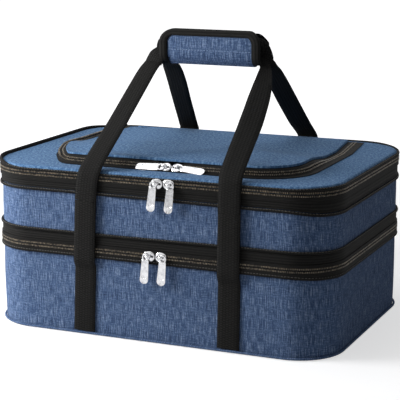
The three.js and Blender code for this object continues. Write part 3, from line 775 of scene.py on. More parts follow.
class Shader:
    """Builds the nodes of one material or world."""

    def __init__(self, name: str, kinds: Any = None) -> None:
        """Starts with an empty tree.

        Args:
            name: The material's or world's name.
            kinds: Blender's list of worlds, or None for a material.
        """
        self.owner = (bpy.data.materials if kinds is None else kinds).new(name)
        self.owner.use_nodes = True
        self.tree = self.owner.node_tree
        self.tree.nodes.clear()

    def node(self, kind: str, settings: Mapping[str, Any] | None = None,
             inputs: Mapping[Any, Any] | None = None, output: int | str = 0) -> Signal:
        """Adds a node.

        Args:
            kind: The node's type.
            settings: Its attributes, or a ramp's stops, set first.
            inputs: Values or signals by socket name or number.
            output: The socket to return.

        Returns:
            The node's output.
        """
        made = self.tree.nodes.new(kind)
        for key, value in (settings or {}).items():
            if key == "stops":
                ramp = made.color_ramp
                while len(ramp.elements) < len(value):
                    ramp.elements.new(0.5)
                for element, (place, color) in zip(ramp.elements, value):
                    element.position = place
                    element.color = (*color, 1.0)
            else:
                setattr(made, key, value)
        for key, value in (inputs or {}).items():
            if isinstance(value, Signal):
                self.tree.links.new(value.socket, made.inputs[key])
            elif value is not None:
                made.inputs[key].default_value = value
        return Signal(self, made.outputs[output])

    def uv(self) -> tuple[Signal, Signal, Signal]:
        """Returns the piece's texture coordinates, as a vector and its two parts."""
        vector = self.node("ShaderNodeUVMap", {"uv_map": "UVMap"})
        parts = self.tree.nodes.new("ShaderNodeSeparateXYZ")
        self.tree.links.new(vector.socket, parts.inputs[0])
        return vector, Signal(self, parts.outputs[0]), Signal(self, parts.outputs[1])

    def rays(self) -> tuple[Signal, Signal, Signal]:
        """Returns whether a ray comes from the camera, a mirroring surface or a clear one."""
        outputs = self.tree.nodes.new("ShaderNodeLightPath").outputs
        return tuple(Signal(self, outputs[f"Is {word} Ray"]) for word in ("Camera", "Glossy", "Transmission"))

    def place(self) -> Signal:
        """Returns a point's place on the piece."""
        return self.node("ShaderNodeTexCoord", None, None, "Object")

    def stretched(self, vector: Signal, scale: Sequence[float], turn: float = 0.0) -> Signal:
        """Returns coordinates scaled and turned about Z."""
        values = {"Vector": vector, "Scale": scale, "Rotation": (0, 0, turn)}
        return self.node("ShaderNodeMapping", None, values)

    def noise(self, vector: Signal, scale: float, detail: float = 3.0, rough: float = 0.55) -> Signal:
        """Returns fractal noise."""
        return self.node("ShaderNodeTexNoise", None,
                         {"Vector": vector, "Scale": scale, "Detail": detail, "Roughness": rough})

    def mix(self, share: Any, a: Any, b: Any) -> Signal:
        """Returns a colour between two."""
        a, b = (v if isinstance(v, Signal) else (*v, 1.0) for v in (a, b))
        return self.node("ShaderNodeMix", {"data_type": "RGBA"}, {0: share, 6: a, 7: b}, 2)

    def bump(self, height: Signal, distance: float, strength: float = 1.0) -> Signal:
        """Returns a normal from a height of 0 to 1 and how deep that is."""
        values = {"Height": height, "Distance": distance, "Strength": strength}
        return self.node("ShaderNodeBump", None, values)

    def finish(self, sockets: Mapping[str, Any]) -> bpy.types.Material:
        """Ends the material in a Principled shader.

        Args:
            sockets: Its inputs, where three numbers are a colour.

        Returns:
            The material.
        """
        values = {k: ((*v, 1.0) if isinstance(v, tuple) and len(v) == 3 else v) for k, v in sockets.items()}
        self.end(self.node("ShaderNodeBsdfPrincipled", None, values))
        return self.owner

    def end(self, surface: Signal, kind: str = "ShaderNodeOutputMaterial") -> None:
        """Sends a shader to the tree's output."""
        out = self.tree.nodes.new(kind)
        self.tree.links.new(surface.socket, out.inputs["Surface"])


@dataclass(frozen=True)
class HeatheredCloth:
    """Blue polyester cloth with mixed light and dark threads."""

    name: str
    dark: Color = (0.022, 0.040, 0.088)
    blue: Color = (0.064, 0.112, 0.225)
    light: Color = (0.260, 0.340, 0.490)
    warp: Point = (1250.0, 75.0)
    weft: Point = (120.0, 900.0)
    warp_share: float = 0.56
    spread: Point = (0.37, 0.65)
    pitch: float = 0.0011

    def build(self) -> bpy.types.Material:
        """Returns the material."""
        sh = Shader(self.name)
        vector, u, v = sh.uv()
        threads = sh.noise(sh.stretched(vector, (*self.warp, 1)), 1.0, 2, 0.5)
        weft = sh.noise(sh.stretched(vector, (*self.weft, 1)), 1.0, 2, 0.5)
        fleck = sh.noise(sh.stretched(vector, (760, 560, 1), 0.5), 1.0, 1, 0.5)
        blend = threads * self.warp_share + weft * (0.80 - self.warp_share) + fleck * 0.20
        stops = [(self.spread[0], self.dark), (0.5, self.blue), (self.spread[1], self.light)]
        tone = sh.node("ShaderNodeValToRGB", {"stops": stops}, {0: blend})
        broad = sh.noise(vector, 9.0, 2)
        color = sh.mix(broad.ramp(0.35, 0.8) * 0.20, tone, tuple(c * 0.6 for c in self.blue))
        k = math.tau / self.pitch
        weave = (u * k).sine() * (v * k).sine() * 0.5 + 0.5
        height = weave * 0.35 + blend * 0.65
        return sh.finish({"Base Color": color, "Roughness": 0.84 + threads * 0.12,
                          "Specular IOR Level": 0.12, "Sheen Weight": 0.03, "Sheen Roughness": 0.5,
                          "Normal": sh.bump(height, 0.00035, 0.8)})


@dataclass(frozen=True)
class WovenTape:
    """Black woven tape or webbing with ribs across and ridges along it."""

    name: str
    base: Color = (0.0024, 0.0023, 0.0022)
    tone_and_glint: Color = (0.0185, 0.0178, 0.0165)
    rib: float = 0.0026
    ridge: float = 0.0034
    depth: float = 0.0005
    balance: float = 0.6
    reach: Point = (0.35, 1.0)

    def build(self) -> bpy.types.Material:
        """Returns the material."""
        sh = Shader(self.name)
        vector, u, v = sh.uv()
        shift = (v * (math.tau / (2 * self.ridge))).sine().ramp(-0.2, 0.2)
        ribs = (u * (math.tau / self.rib) + shift * math.pi).sine() * 0.5 + 0.5
        ridges = (v * (math.tau / (2 * self.ridge))).sine().size()
        height = ribs * self.balance + ridges * (1 - self.balance)
        fuzz = sh.noise(sh.stretched(vector, (500, 300, 1)), 1.0, 3)
        share = height.ramp(*self.reach) * 0.7 + fuzz.ramp(0.5, 0.75) * 0.45
        color = sh.mix(share, self.base, self.tone_and_glint)
        return sh.finish({"Base Color": color, "Roughness": 0.62 + fuzz * 0.3, "Specular IOR Level": 0.13,
                          "Normal": sh.bump(height * 0.85 + fuzz * 0.15, self.depth, 1.0)})


@dataclass(frozen=True)
class FoilFilm:
    """Silver film lining, quilted lightly by its foam."""

    name: str = "foil film"

    def build(self) -> bpy.types.Material:
        """Returns the material."""
        sh = Shader(self.name)
        vector, u, v = sh.uv()
        creases = sh.noise(sh.stretched(vector, (60, 60, 1)), 1.0, 6, 0.62)
        k = math.tau / 0.0022
        emboss = ((u + v) * k).sine() * ((u - v) * k).sine() * 0.5 + 0.5
        color = sh.mix(creases.ramp(0.3, 0.75), (0.50, 0.52, 0.54), (0.72, 0.74, 0.76))
        return sh.finish({"Base Color": color, "Metallic": 0.75, "Roughness": 0.26 + creases * 0.2,
                          "Normal": sh.bump(creases * 0.7 + emboss * 0.3, 0.0009, 0.6)})


@dataclass(frozen=True)
class PolishedNickel:
    """Bright plated metal with faint handling marks."""

    name: str = "polished nickel"
    bright: Color = (0.78, 0.78, 0.79)
    dull: Color = (0.58, 0.58, 0.60)

    def build(self) -> bpy.types.Material:
        """Returns the material."""
        sh = Shader(self.name)
        spot = sh.place()
        wear = sh.noise(spot, 260.0, 3)
        color = sh.mix(wear.ramp(0.4, 0.8), self.bright, self.dull)
        return sh.finish({"Base Color": color, "Metallic": 1.0, "Roughness": 0.16 + wear * 0.10,
                          "Normal": sh.bump(wear, 0.00003, 0.3)})


@dataclass(frozen=True)
class PlainYarn:
    """Moulded coil or sewing thread in one colour with a little random variation; on the coil, the lighter
    colour on random teeth is painted glint.
    """

    name: str
    base: Color
    tone_and_glint: Color
    rough: float = 0.5
    scale: float = 900.0
    reach: Point = (0.3, 0.8)

    def build(self) -> bpy.types.Material:
        """Returns the material."""
        sh = Shader(self.name)
        grain_and_glint = sh.noise(sh.place(), self.scale, 2)
        # Lighter colour where the noise is high; on the coil this is painted glint on random teeth.
        color = sh.mix(grain_and_glint.ramp(*self.reach), self.base, self.tone_and_glint)
        return sh.finish({"Base Color": color, "Roughness": self.rough + grain_and_glint * 0.15,
                          "Normal": sh.bump(grain_and_glint, 0.00006, 0.5)})


class Finishes:
    """All the carrier's finishes, each built once."""

    def __init__(self) -> None:
        """Builds the materials."""
        self.cloth = HeatheredCloth("heathered cloth").build()
        self.lid_cloth = HeatheredCloth("heathered lid cloth", (0.040, 0.104, 0.215), (0.084, 0.180, 0.345),
                                        (0.205, 0.340, 0.530), (520.0, 240.0), (240.0, 520.0), 0.42,
                                        (0.40, 0.61)).build()
        self.web = WovenTape("ribbed webbing").build()
        self.tape = WovenTape("zipper tape", rib=0.0011, ridge=0.0017, depth=0.00025, balance=0.35).build()
        self.strip = WovenTape("band strip", rib=0.0014, ridge=0.0030, depth=0.0003, balance=0.25).build()
        self.cord = WovenTape("bound cord", rib=0.0020, ridge=0.0030, depth=0.0003, balance=0.8).build()
        # The coil's second colour, on random teeth, is painted glint that stands in for light catching the
        # coil.
        self.coil = PlainYarn("zipper coil", (0.022, 0.018, 0.014), (0.30, 0.245, 0.175), 0.30, 420.0,
                              (0.32, 0.66)).build()
        self.thread = PlainYarn("sewing thread", (0.070, 0.066, 0.060), (0.20, 0.185, 0.165), 0.6).build()
        self.seam = PlainYarn("blue seam thread", (0.13, 0.20, 0.33), (0.26, 0.36, 0.52), 0.6).build()
        self.foil = FoilFilm().build()
        self.nickel = PolishedNickel().build()


def dress(piece: bpy.types.Object, material: bpy.types.Material, body: str | None,
          replaced: Sequence[str] = ()) -> bpy.types.Object:
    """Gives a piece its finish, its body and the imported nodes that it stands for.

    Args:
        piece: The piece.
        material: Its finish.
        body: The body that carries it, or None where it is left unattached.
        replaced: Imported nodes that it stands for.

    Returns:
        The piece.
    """
    piece.data.materials.clear()
    piece.data.materials.append(material)
    if body:
        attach(piece, body)
    if replaced:
        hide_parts(*replaced)
    LOG.info("%s: %d faces on %s", piece.name, len(piece.data.polygons), body)
    return piece


@dataclass(frozen=True)
class EdgeLine:
    """How far a band's edge strays from its level round the carrier, upwards when positive."""

    left: float
    front_left: float
    front_right: float
    right: float

    def at(self, st: Station) -> float:
        """Returns the shift at a station, where the back stays level.

        Args:
            st: The station.

        Returns:
            The shift.
        """
        front = self.front_left + (self.front_right - self.front_left) * ease((st.x + 0.06) / 0.2)
        side = self.right if st.nx > 0 else self.left
        if st.ny > 0:
            return side * (1 - ease(st.ny * 1.5))
        return front + (side - front) * ease(abs(st.nx) * 1.1)


LEVEL = EdgeLine(0.0, 0.0, 0.0, 0.0)
EDGES = {
    "lid_cord": EdgeLine(0.0, -0.0022, -0.0018, -0.0010),
    "upper_band_cord": EdgeLine(0.0020, 0.0025, 0.0016, -0.0028),
    "mid_band_cord": EdgeLine(-0.0016, -0.0018, -0.0002, -0.0012),
    "lower_band_cord": EdgeLine(0.0018, 0.0022, 0.0020, 0.0),
}


@dataclass
class Stitching:
    """Rows of short stitches along an outline."""

    length: float = 0.0022
    pitch: float = 0.0034
    width: float = 0.0005
    height: float = 0.0003
    taper: float = 0.6

    def row(self, name: str, outline: Outline, offset: float, z: float, tilt: float = 0.0,
            line: EdgeLine = LEVEL) -> bpy.types.Object:
        """Makes a row of stitches on a band.

        Args:
            name: The piece's name.
            outline: The line that it follows.
            offset: How far out the stitches lie.
            z: Their height.
            tilt: How far their outer side leans up, in radians.
            line: How their height strays.

        Returns:
            The new piece.
        """
        maker = MeshMaker()
        for st in outline.along(self.pitch, self.pitch / 2):
            normal = Vector((st.nx * math.cos(tilt), st.ny * math.cos(tilt), math.sin(tilt)))
            frame = frame_at(st.out(offset, z + line.at(st)), st.along(), normal)
            maker.block(frame, (self.length, self.width, self.height), self.taper)
        return maker.make(name, 60)


@dataclass
class Deck:
    """A tub of the carrier: outer wall, padded rim and foil lining."""

    name: str
    body: str
    low: float
    high: float
    floor: float
    finishes: Finishes
    wall: float = 0.0012
    foam: float = 0.0068
    film: float = 0.0006
    bow: float = 0.0007
    ripple: float = 0.0006
    cove: float = 0.004
    rim: float = 0.004
    ruffle: float = 0.0004
    tuck: float = 0.0035
    set_down: float = 0.0006

    def build(self) -> None:
        """Builds the tub's pieces."""
        outline = body_outline()
        heights = spread(self.low, self.high, 14)
        profile = [(0.0, z) for z in heights] + [(-self.wall, z) for z in reversed(heights)]
        wall = sweep(f"{self.name}_wall", outline, profile, 60, self._soften)
        dress(wall, self.finishes.cloth, self.body, [f"{self.name}_shell"])
        self._lining(outline)

    def _soften(self, p: Vector, st: Station) -> Vector:
        """Returns a wall point bowed and rippled as cloth over foam.

        Args:
            p: The point.
            st: Its station.

        Returns:
            The moved point.
        """
        share = (p.z - self.low) / (self.high - self.low)
        bow = self.bow * math.sin(math.pi * share)
        ripple = noise.noise(Vector((st.s * 22, p.z * 16, 1.7))) * self.ripple
        ripple *= min(1.0, 6 * share, 6 * (1 - share))
        return p + Vector((st.nx, st.ny, 0)) * (bow + ripple)

    def _base(self, x: float, y: float, share: float) -> float:
        """Returns the height of the foil on the floor, which is a little ruffled."""
        return self.floor + self.film + self.ruffle * noise.noise(Vector((x * 30, y * 30, 0)))

    def _lining(self, outline: Outline) -> None:
        """Builds the foil tray and the rim that covers the foam's edge.

        Args:
            outline: The body's outline.
        """
        inner, film, cove = -self.foam, self.film, self.cove
        top = self.high - self.set_down
        rise = spread(self.floor + cove, top, 10)
        curve = [(inner - cove + cove * math.sin(a), self.floor + cove - cove * math.cos(a))
                 for a in (0.2, 0.6, 1.0, 1.35)]
        face = curve + [(inner, z) for z in rise]
        back = [(inner - film, z) for z in reversed(rise)] + [(inner - cove, self.floor + film)]
        tray = sweep(f"{self.name}_foil_wall", outline, face + back, 60)
        dress(tray, self.finishes.foil, self.body, [f"{self.name}_lining", f"{self.name}_insulation"])
        disc = plate(f"{self.name}_foil_floor", outline.moved(inner - self.tuck), None, self._base, film)
        dress(disc, self.finishes.foil, self.body)
        rim = slab(inner - film - 0.0003, top - self.rim, -0.0014, self.high - 0.0001, 0.0005)
        piece = sweep(f"{self.name}_rim_binding", outline, rim)
        dress(piece, self.finishes.strip, self.body)


@dataclass
class Zipper:
    """One half of a chain that runs round the body."""

    name: str
    body: str
    level: float
    side: int
    reach: float
    node: str
    finishes: Finishes
    notch: float | None = None
    outline: Outline = field(default_factory=chain_outline)
    near: float = 0.00045
    coil: float = 0.0029
    pitch: float = 0.0018
    room: float = 0.0136

    def build(self) -> None:
        """Builds the tape and the coil's teeth."""
        meeting = self.level + SIZES.chain_rise
        ends = sorted((meeting + self.side * 0.00015, self.level + self.side * self.reach))
        section = slab(SIZES.tape_in, ends[0], SIZES.tape_out, ends[1], 0.0001)
        tape = sweep(f"{self.name}_tape", self.outline, section)
        dress(tape, self.finishes.tape, self.body, [self.node])
        maker = MeshMaker()
        middle = meeting + self.side * (self.near + self.coil) / 2
        for st in self.outline.along(self.pitch, self.pitch * (0.25 if self.side > 0 else 0.75)):
            if self.notch is not None and st.ny < -0.99 and abs(st.x - self.notch) < self.room:
                continue
            place = st.out((SIZES.coil_in + SIZES.coil_out) / 2, middle)
            frame = frame_at(place, st.along(), Vector((st.nx, st.ny, 0)))
            maker.block(frame, (TOOTH, self.coil - self.near, SIZES.coil_out - SIZES.coil_in), TOOTH_TAPER)
        dress(maker.make(f"{self.name}_teeth", 30), self.finishes.coil, self.body)


@dataclass
class Bands:
    """The two black bands with their cords, strips and zippers."""

    finishes: Finishes
    stitches: Stitching = field(default_factory=Stitching)
    cord_rise: float = 0.0034
    bend: float = 0.004
    lid_reach: float = 0.0049
    mid_notch: float = 0.0088
    lid_notch: float = 0.0183
    seam_out: float = 1.72
    seam_up: float = 0.7
    seam_tilt: float = 0.75

    def build(self) -> None:
        """Builds both bands."""
        for name, node, body in (("lower_band_cord", "lower_band_piping", "lower_case"),
                                 ("mid_band_cord", "mid_band_piping", "upper_case"),
                                 ("upper_band_cord", "upper_band_piping", "upper_case"),
                                 ("lid_cord", "lid_piping", "lid")):
            self._cord(name, node, body)
        self._strip("mid_strip", "mid_band_strip", "mid_band_cord", True)
        self._strip("upper_strip", "upper_band_strip", "upper_band_cord", False)
        low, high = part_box("base_piping")
        radius, middle = (high.z - low.z) / 2, (high.z + low.z) / 2
        hem = sweep("base_hem", body_outline(), circle(SIZES.gap + radius, middle, radius))
        dress(hem, self.finishes.cloth, "lower_case", ["base_piping"])
        halves = (("mid", "lower", "lower_case", SIZES.mid, -1, SIZES.reach, None),
                  ("mid", "upper", "upper_case", SIZES.mid, 1, SIZES.reach, self.mid_notch),
                  ("lid", "lower", "upper_case", SIZES.lid, -1, SIZES.reach, None),
                  ("lid", "upper", "lid", SIZES.lid, 1, self.lid_reach, self.lid_notch))
        for zone, word, body, level, side, reach, notch in halves:
            Zipper(f"{zone}_{word}_zipper", body, level, side, reach, f"{zone}_zipper_{word}_half",
                   self.finishes, notch).build()
        self._hinge(SIZES.mid, "mid_hinge_strip")
        self._hinge(SIZES.lid, "lid_hinge_strip")

    def _cord(self, name: str, node: str, body: str) -> None:
        """Builds one cord with its stitches.

        Args:
            name: The cord's name, which its edge line has too.
            node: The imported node.
            body: The body that carries it.
        """
        low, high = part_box(node)
        radius, middle = (high.z - low.z) / 2, (high.z + low.z) / 2
        line = EDGES[name]

        def shape(p: Vector, st: Station) -> Vector:
            """Returns a point of the cord on its line."""
            rise = self._rise(st) * (p.z - low.z) / SIZES.cord if name == "lid_cord" else 0.0
            return p + Vector((0, 0, line.at(st) + rise))

        outline = body_outline()
        cord = sweep(name, outline, circle(SIZES.gap + radius, middle, radius, 12), 40, shape)
        dress(cord, self.finishes.cord, body, [node])
        offset, height = SIZES.gap + radius * self.seam_out, middle + radius * self.seam_up
        row = self.stitches.row(f"{name}_stitches", outline, offset, height, self.seam_tilt, line)
        dress(row, self.finishes.thread, body)

    def _strip(self, name: str, node: str, cord: str, at_top: bool) -> None:
        """Builds one plain strip.

        Args:
            name: The piece's name.
            node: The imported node.
            cord: The cord that it is sewn to.
            at_top: Whether that is its upper edge.
        """
        low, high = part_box(node)

        def stretch(p: Vector, st: Station) -> Vector:
            """Returns a point of the strip, whose sewn edge follows its cord."""
            share = (p.z - low.z) / (high.z - low.z)
            return p + Vector((0, 0, EDGES[cord].at(st) * (share if at_top else 1 - share)))

        section = slab(SIZES.gap, low.z, SIZES.strip_out, high.z, 0.0005)
        strip = sweep(name, body_outline(), section, 40, stretch)
        dress(strip, self.finishes.strip, "upper_case", [node])

    def _rise(self, st: Station) -> float:
        """Returns how much taller the lid's cord is, which stands above the cloth along the left and back."""
        side, back = (clamp((v - 0.45) / 0.5) for v in (-st.nx, st.ny))
        return self.cord_rise * max(side, back * 0.4)

    def _hinge(self, level: float, node: str) -> None:
        """Builds the fabric strip across the back at a zipper's level.

        Args:
            level: The zipper's level.
            node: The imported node.
        """
        low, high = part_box(node)
        section = [(high.y, z) for z in spread(low.z, high.z, 12)]
        section += [(low.y, z) for _, z in reversed(section)]
        piece = bar(f"{node}_tape", section, spread(low.x, high.x, 24))
        strip = dress(piece, self.finishes.strip, None, [node])
        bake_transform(strip)


@dataclass(frozen=True)
class FlapStep:
    """The line of the flap's chain, and the step that its zipper climbs along the front."""

    corners: tuple[tuple[float, float, float], ...] = (
        (-0.163, 0.1367, 0.0), (-0.167, 0.095, 0.0), (-0.168, -0.0098, 0.110), (-0.1438, -0.0698, 0.140),
        (-0.1198, -0.108, 0.024), (0.150, -0.108, 0.049), (0.150, 0.060, 0.0), (0.140, 0.1367, 0.0))
    front: float = 0.108
    tape: float = 0.011
    bend: float = 0.0052
    rise: float = 0.00735
    rise_start: float = -0.030
    rise_length: float = 0.075
    level: float = 0.1851
    back: float = 0.1367
    narrow: float = 0.36
    ridge: float = 0.0034
    ridge_middle: float = 0.0018
    ridge_width: float = 0.0028
    coil: float = 0.0026

    def outline(self, offset: float, back: float, closed: bool) -> Outline:
        """Returns the chain's line moved outwards.

        Args:
            offset: How far outwards.
            back: Where it ends at the back.
            closed: Whether the back is drawn too.

        Returns:
            The outline.
        """
        line, limit = Outline.trace(self.corners, False, 0.006).moved(offset), self.back - 0.0004
        fixed = [Station(st.x, back if st.y > limit else st.y, st.nx, st.ny, st.s) for st in line.stations]
        if closed:
            first, last = fixed[0], fixed[-1]
            for run in spread(0.0, last.x - first.x, 40):
                fixed.append(Station(last.x - run, back, 0.0, 1.0, last.s + run))
        return Outline(fixed, closed)

    @staticmethod
    def left(st: Station) -> float:
        """Returns how far a station faces left, where the tapes are narrow and stand up in a ridge."""
        return ease((-st.nx - 0.30) / 0.5)

    def width(self, st: Station, reach: float) -> float:
        """Returns a reach along the tape, drawn in where the tape is narrow.

        Args:
            st: The place on the chain.
            reach: Length along a tape of full width.

        Returns:
            The length along this one.
        """
        if abs(reach) <= self.coil:
            return reach
        beyond = (abs(reach) - self.coil) * (1 - self.narrow * self.left(st))
        return math.copysign(self.coil + beyond, reach)

    def slope(self, y: float) -> float:
        """Returns the slope of the step, in radians, at a place on the chain."""
        return math.asin(self.rise * ease((-y - self.rise_start) / self.rise_length) / (2 * self.bend))

    def point(self, st: Station, reach: float, height: float) -> Vector:
        """Returns a point of the zipper's section.

        Args:
            st: The place on the chain.
            reach: Length along the tape from the chain, outwards when positive.
            height: Height above the tape's middle.

        Returns:
            The point.
        """
        angle, side = self.slope(st.y), (1 if reach > 0 else -1)
        cos, sin = math.cos(angle), math.sin(angle)
        reach = self.width(st, reach)
        crest = math.exp(-((reach - self.ridge_middle) / self.ridge_width) ** 2)
        height += self.ridge * self.left(st) * crest
        if abs(reach) <= self.bend:
            return st.out(self.bend - self.bend * cos + reach * cos + height * sin,
                          self.level + self.bend * sin - reach * sin + height * cos)
        offset = self.bend - self.bend * cos + side * (self.bend * cos + abs(reach) - self.bend)
        level = self.level + self.bend * sin * (1 - side)
        return st.out(offset + height * math.tan(angle / 2), level + height)

    def frame(self, st: Station, reach: float, height: float) -> Matrix:
        """Returns a frame on the slope, with X along the chain and Z out of the tape.

        Args:
            st: The place on the chain.
            reach: Length along the tape from the chain, outwards when positive.
            height: Height above the tape's middle.

        Returns:
            The frame.
        """
        angle = self.slope(st.y)
        normal = Vector((st.nx * math.sin(angle), st.ny * math.sin(angle), math.cos(angle)))
        return frame_at(self.point(st, reach, height), st.along(), normal)


STEP = FlapStep()


@dataclass
class Lid:
    """The lid's cloth with its rolled edge, its lining and the opening for the flap."""

    finishes: Finishes
    roll: float = 0.0034
    proud: float = 0.0010
    hole: float = 0.0053
    turn: float = 0.0055
    fold: float = 0.1812
    back: float = 0.13715
    cloth: float = 0.0012
    film: float = 0.0008
    cloth_inset: float = 0.0046
    film_inset: float = 0.0016
    ripple: float = 0.0002

    def build(self) -> None:
        """Builds the lid."""
        f, outline = self.finishes, body_outline()
        top, r = SIZES.top, self.roll
        opening = STEP.outline(self.hole, self.back, True)
        edge = [(self.proud - r + r * math.cos(a), top + self.proud - r + r * math.sin(a))
                for a in (-0.25, 0.1, 0.45, 0.8, 1.15, math.pi / 2)]
        low = SIZES.lid + 0.0002
        profile = [(-self.cloth, low), (0, low), (0, self.fold), *edge, (-self.turn, top + self.proud * 0.9),
                   (-self.turn, top - self.cloth), (-self.cloth, top - 0.0016)]
        wall = sweep("lid_rolled_edge", outline, profile, 60)
        dress(wall, f.lid_cloth, "lid", ["lid_panel"])
        panel = plate("lid_cloth", outline.moved(-self.cloth_inset), opening, self._height, self.cloth,
                      8, 220)
        dress(panel, f.lid_cloth, "lid")
        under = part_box("lid_lining")
        foil = plate("lid_foil", outline.moved(-self.film_inset), opening, lambda x, y, share: under[1].z,
                     self.film, 5, 220)
        dress(foil, f.foil, "lid", ["lid_lining", "lid_insulation"])
        section = slab(-0.0001, under[1].z, 0.0012, top - 0.0013, 0.0002)
        sides = sweep("lid_opening_edge", opening, section)
        dress(sides, f.strip, "lid")

    def _height(self, x: float, y: float, share: float) -> float:
        """Returns the lid cloth's height at a place."""
        crown = self.proud * (0.9 - 0.9 * share)
        return SIZES.top + crown + self.ripple * noise.noise(Vector((x * 25, y * 25, 3)))


@dataclass
class Flap:
    """The flap with its padded cloth, zipper, hinge fold and lining."""

    finishes: Finishes
    crown: float = 0.0031
    edge: float = 0.0083
    roll: float = 0.0028
    meeting: float = 0.0098
    room: float = 0.0136
    teeth_reach: float = 0.001675
    tooth: Point = (0.00245, 0.0016)
    tape_half: float = 0.0004
    seat: float = 0.0007
    cloth: float = 0.0016
    film: float = 0.0008
    film_inset: float = 0.0055
    ripple: float = 0.0012
    dent: float = 0.0016
    shares: tuple[float, ...] = (0.012, 0.03, 0.055, 0.085, 0.13, 0.19, 0.27, 0.36, 0.46, 0.57, 0.69,
                                 0.82, 0.94)
    thin: float = 0.0008
    fold_middle: float = 0.1372
    fold_slant: float = 0.0009
    fold_bend: Point = (0.1345, 0.1395)

    def build(self) -> None:
        """Builds the flap and its zipper."""
        f = self.finishes
        dress(self._cloth(), f.lid_cloth, "flap", ["flap_panel", "flap_insulation"])
        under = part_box("flap_lining")
        inner = STEP.outline(-self.film_inset, STEP.back, True)
        foil = plate("flap_foil", inner, None, lambda x, y, share: under[1].z, self.film, 8, 160)
        dress(foil, f.foil, "flap", ["flap_lining"])
        section = slab(-0.0014, under[1].z + 0.0003, 0, SIZES.top + 0.0002, 0.0002)
        sides = sweep("flap_edge_binding", inner, section)
        dress(sides, f.strip, "flap")
        self._chain("outer", "lid", 1, "flap_zipper_outer_half")
        self._chain("inner", "flap", -1, "flap_zipper_inner_half")
        self._fold()

    def _cloth(self) -> bpy.types.Object:
        """Builds the flap's puffed cloth, with an edge rolled over the inner tape."""
        path = STEP.outline(0, STEP.back, False)
        rim = [(STEP.point(st, -self.edge, 0), Vector((st.nx, st.ny, 0))) for st in path.stations]
        start, end = rim[0][0], rim[-1][0]
        for k in range(1, 30):
            rim.append((end.lerp(start, k / 30), Vector((0, 1, 0))))
        middle = Vector(((start.x + end.x) / 2, (path.stations[0].y - STEP.front) / 2, start.z))
        rows = []
        for place, normal in rim:
            base = place.z + self.seat
            row = [Vector((place.x, place.y, base))]
            roll = self.roll * self._full(place.x)
            for turn in (0.35, 0.8, 1.2):
                out = normal * (roll * 0.35 * math.cos(turn))
                lift = roll * (0.5 - 0.5 * math.cos(2.4 * turn))
                row.append(Vector((place.x + out.x, place.y + out.y, base + lift)))
            for share in self.shares:
                x, y = place.x + (middle.x - place.x) * share, place.y + (middle.y - place.y) * share
                row.append(Vector((x, y, self._height(x, y, place.z, share))))
            low = [Vector((p.x, p.y, p.z - self.cloth)) for p in row]
            rows.append(row + [p - Vector((0, 0, 0.0002)) for p in reversed(low[3:])])
        maker = MeshMaker()
        maker.wheel(rows, len(self.shares) + 3)
        return maker.make("flap_cloth", 50)

    def _full(self, x: float) -> float:
        """Returns how full the padding is, which thins out towards the left side."""
        return 0.12 + 0.88 * ease((x + 0.160) / 0.085)

    def _height(self, x: float, y: float, edge: float, share: float) -> float:
        """Returns the flap cloth's height.

        Args:
            x: Place across.
            y: Place in depth.
            edge: Height of the tape at the rim outwards of it.
            share: 0 at the rim, 1 in the middle.

        Returns:
            The height.
        """
        flat = STEP.level + (edge - STEP.level) * (1 - share) ** 1.2
        full = self._full(x)
        puff = self.crown * min(1.0, share * 2.2) ** 0.7 * full
        crease = math.exp(-((y + 0.079 + 0.10 * (x + 0.07)) / 0.009) ** 2)
        dip = self.dent * crease * clamp((0.02 - x) / 0.09)
        ripple = self.ripple * noise.noise(Vector((x * 11, y * 13, 5))) * min(1.0, share * 6)
        return flat + self.seat + self.roll * full + puff + ripple * full - dip * min(1.0, share * 12)

    def _chain(self, name: str, body: str, side: int, node: str) -> None:
        """Builds one half of the flap's zipper.

        Args:
            name: The half's name.
            body: The body that carries it.
            side: 1 outside the chain, -1 inside.
            node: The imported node.
        """
        path = STEP.outline(0, STEP.back, False)
        stretches = [path]
        if side < 0:
            line = path.stations
            cut = [i for i, st in enumerate(line) if st.ny < -0.99 and abs(st.x - self.meeting) < self.room]
            stretches = [Outline(line[: cut[0]], False), Outline(line[cut[-1] + 1:], False)]
        half = self.tape_half
        section = [(side * r, -half) for r in (0.00025, 0.0026, STEP.bend, 0.008, STEP.tape)]
        section += [(r, half) for r, _ in reversed(section)]
        for k, stretch in enumerate(stretches):
            maker = MeshMaker()
            maker.tube([[STEP.point(st, r, h) for r, h in section] for st in stretch.stations],
                       [st.s for st in stretch.stations], girths(section))
            dress(maker.make(f"flap_{name}_tape_{k}", 35), self.finishes.tape, body, [node])
        maker = MeshMaker()
        for st in path.along(0.0018, 0.0004 if side > 0 else 0.0013):
            if side < 0 and st.ny < -0.99 and abs(st.x - self.meeting) < self.room:
                continue
            maker.block(STEP.frame(st, side * self.teeth_reach, 0), (TOOTH, *self.tooth), TOOTH_TAPER)
        dress(maker.make(f"flap_{name}_teeth", 30), self.finishes.coil, body)

    def _fold(self) -> None:
        """Builds the fold at the hinge."""
        low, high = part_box("flap_hinge_fold")
        upper = []
        for y in spread(low.y, high.y, 14):
            share = 1 / (1 + math.exp((y - self.fold_middle) / self.fold_slant))
            upper.append((y, low.z + self.thin + (high.z - low.z - self.thin) * share))
        section = upper + [(y, z - self.thin) for y, z in reversed(upper)]
        piece = bar("flap_fold", section, spread(low.x, high.x, 24))
        fold = dress(piece, self.finishes.lid_cloth, None, ["flap_hinge_fold"])
        start, end = self.fold_bend
        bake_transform(fold)


@dataclass(frozen=True)
class Leg:
    """One leg of a handle loop, from the deck's edge up to its turn into the grip."""

    hand: float
    places: tuple[tuple[float, float, float], ...]
    turn: float
    lean: float


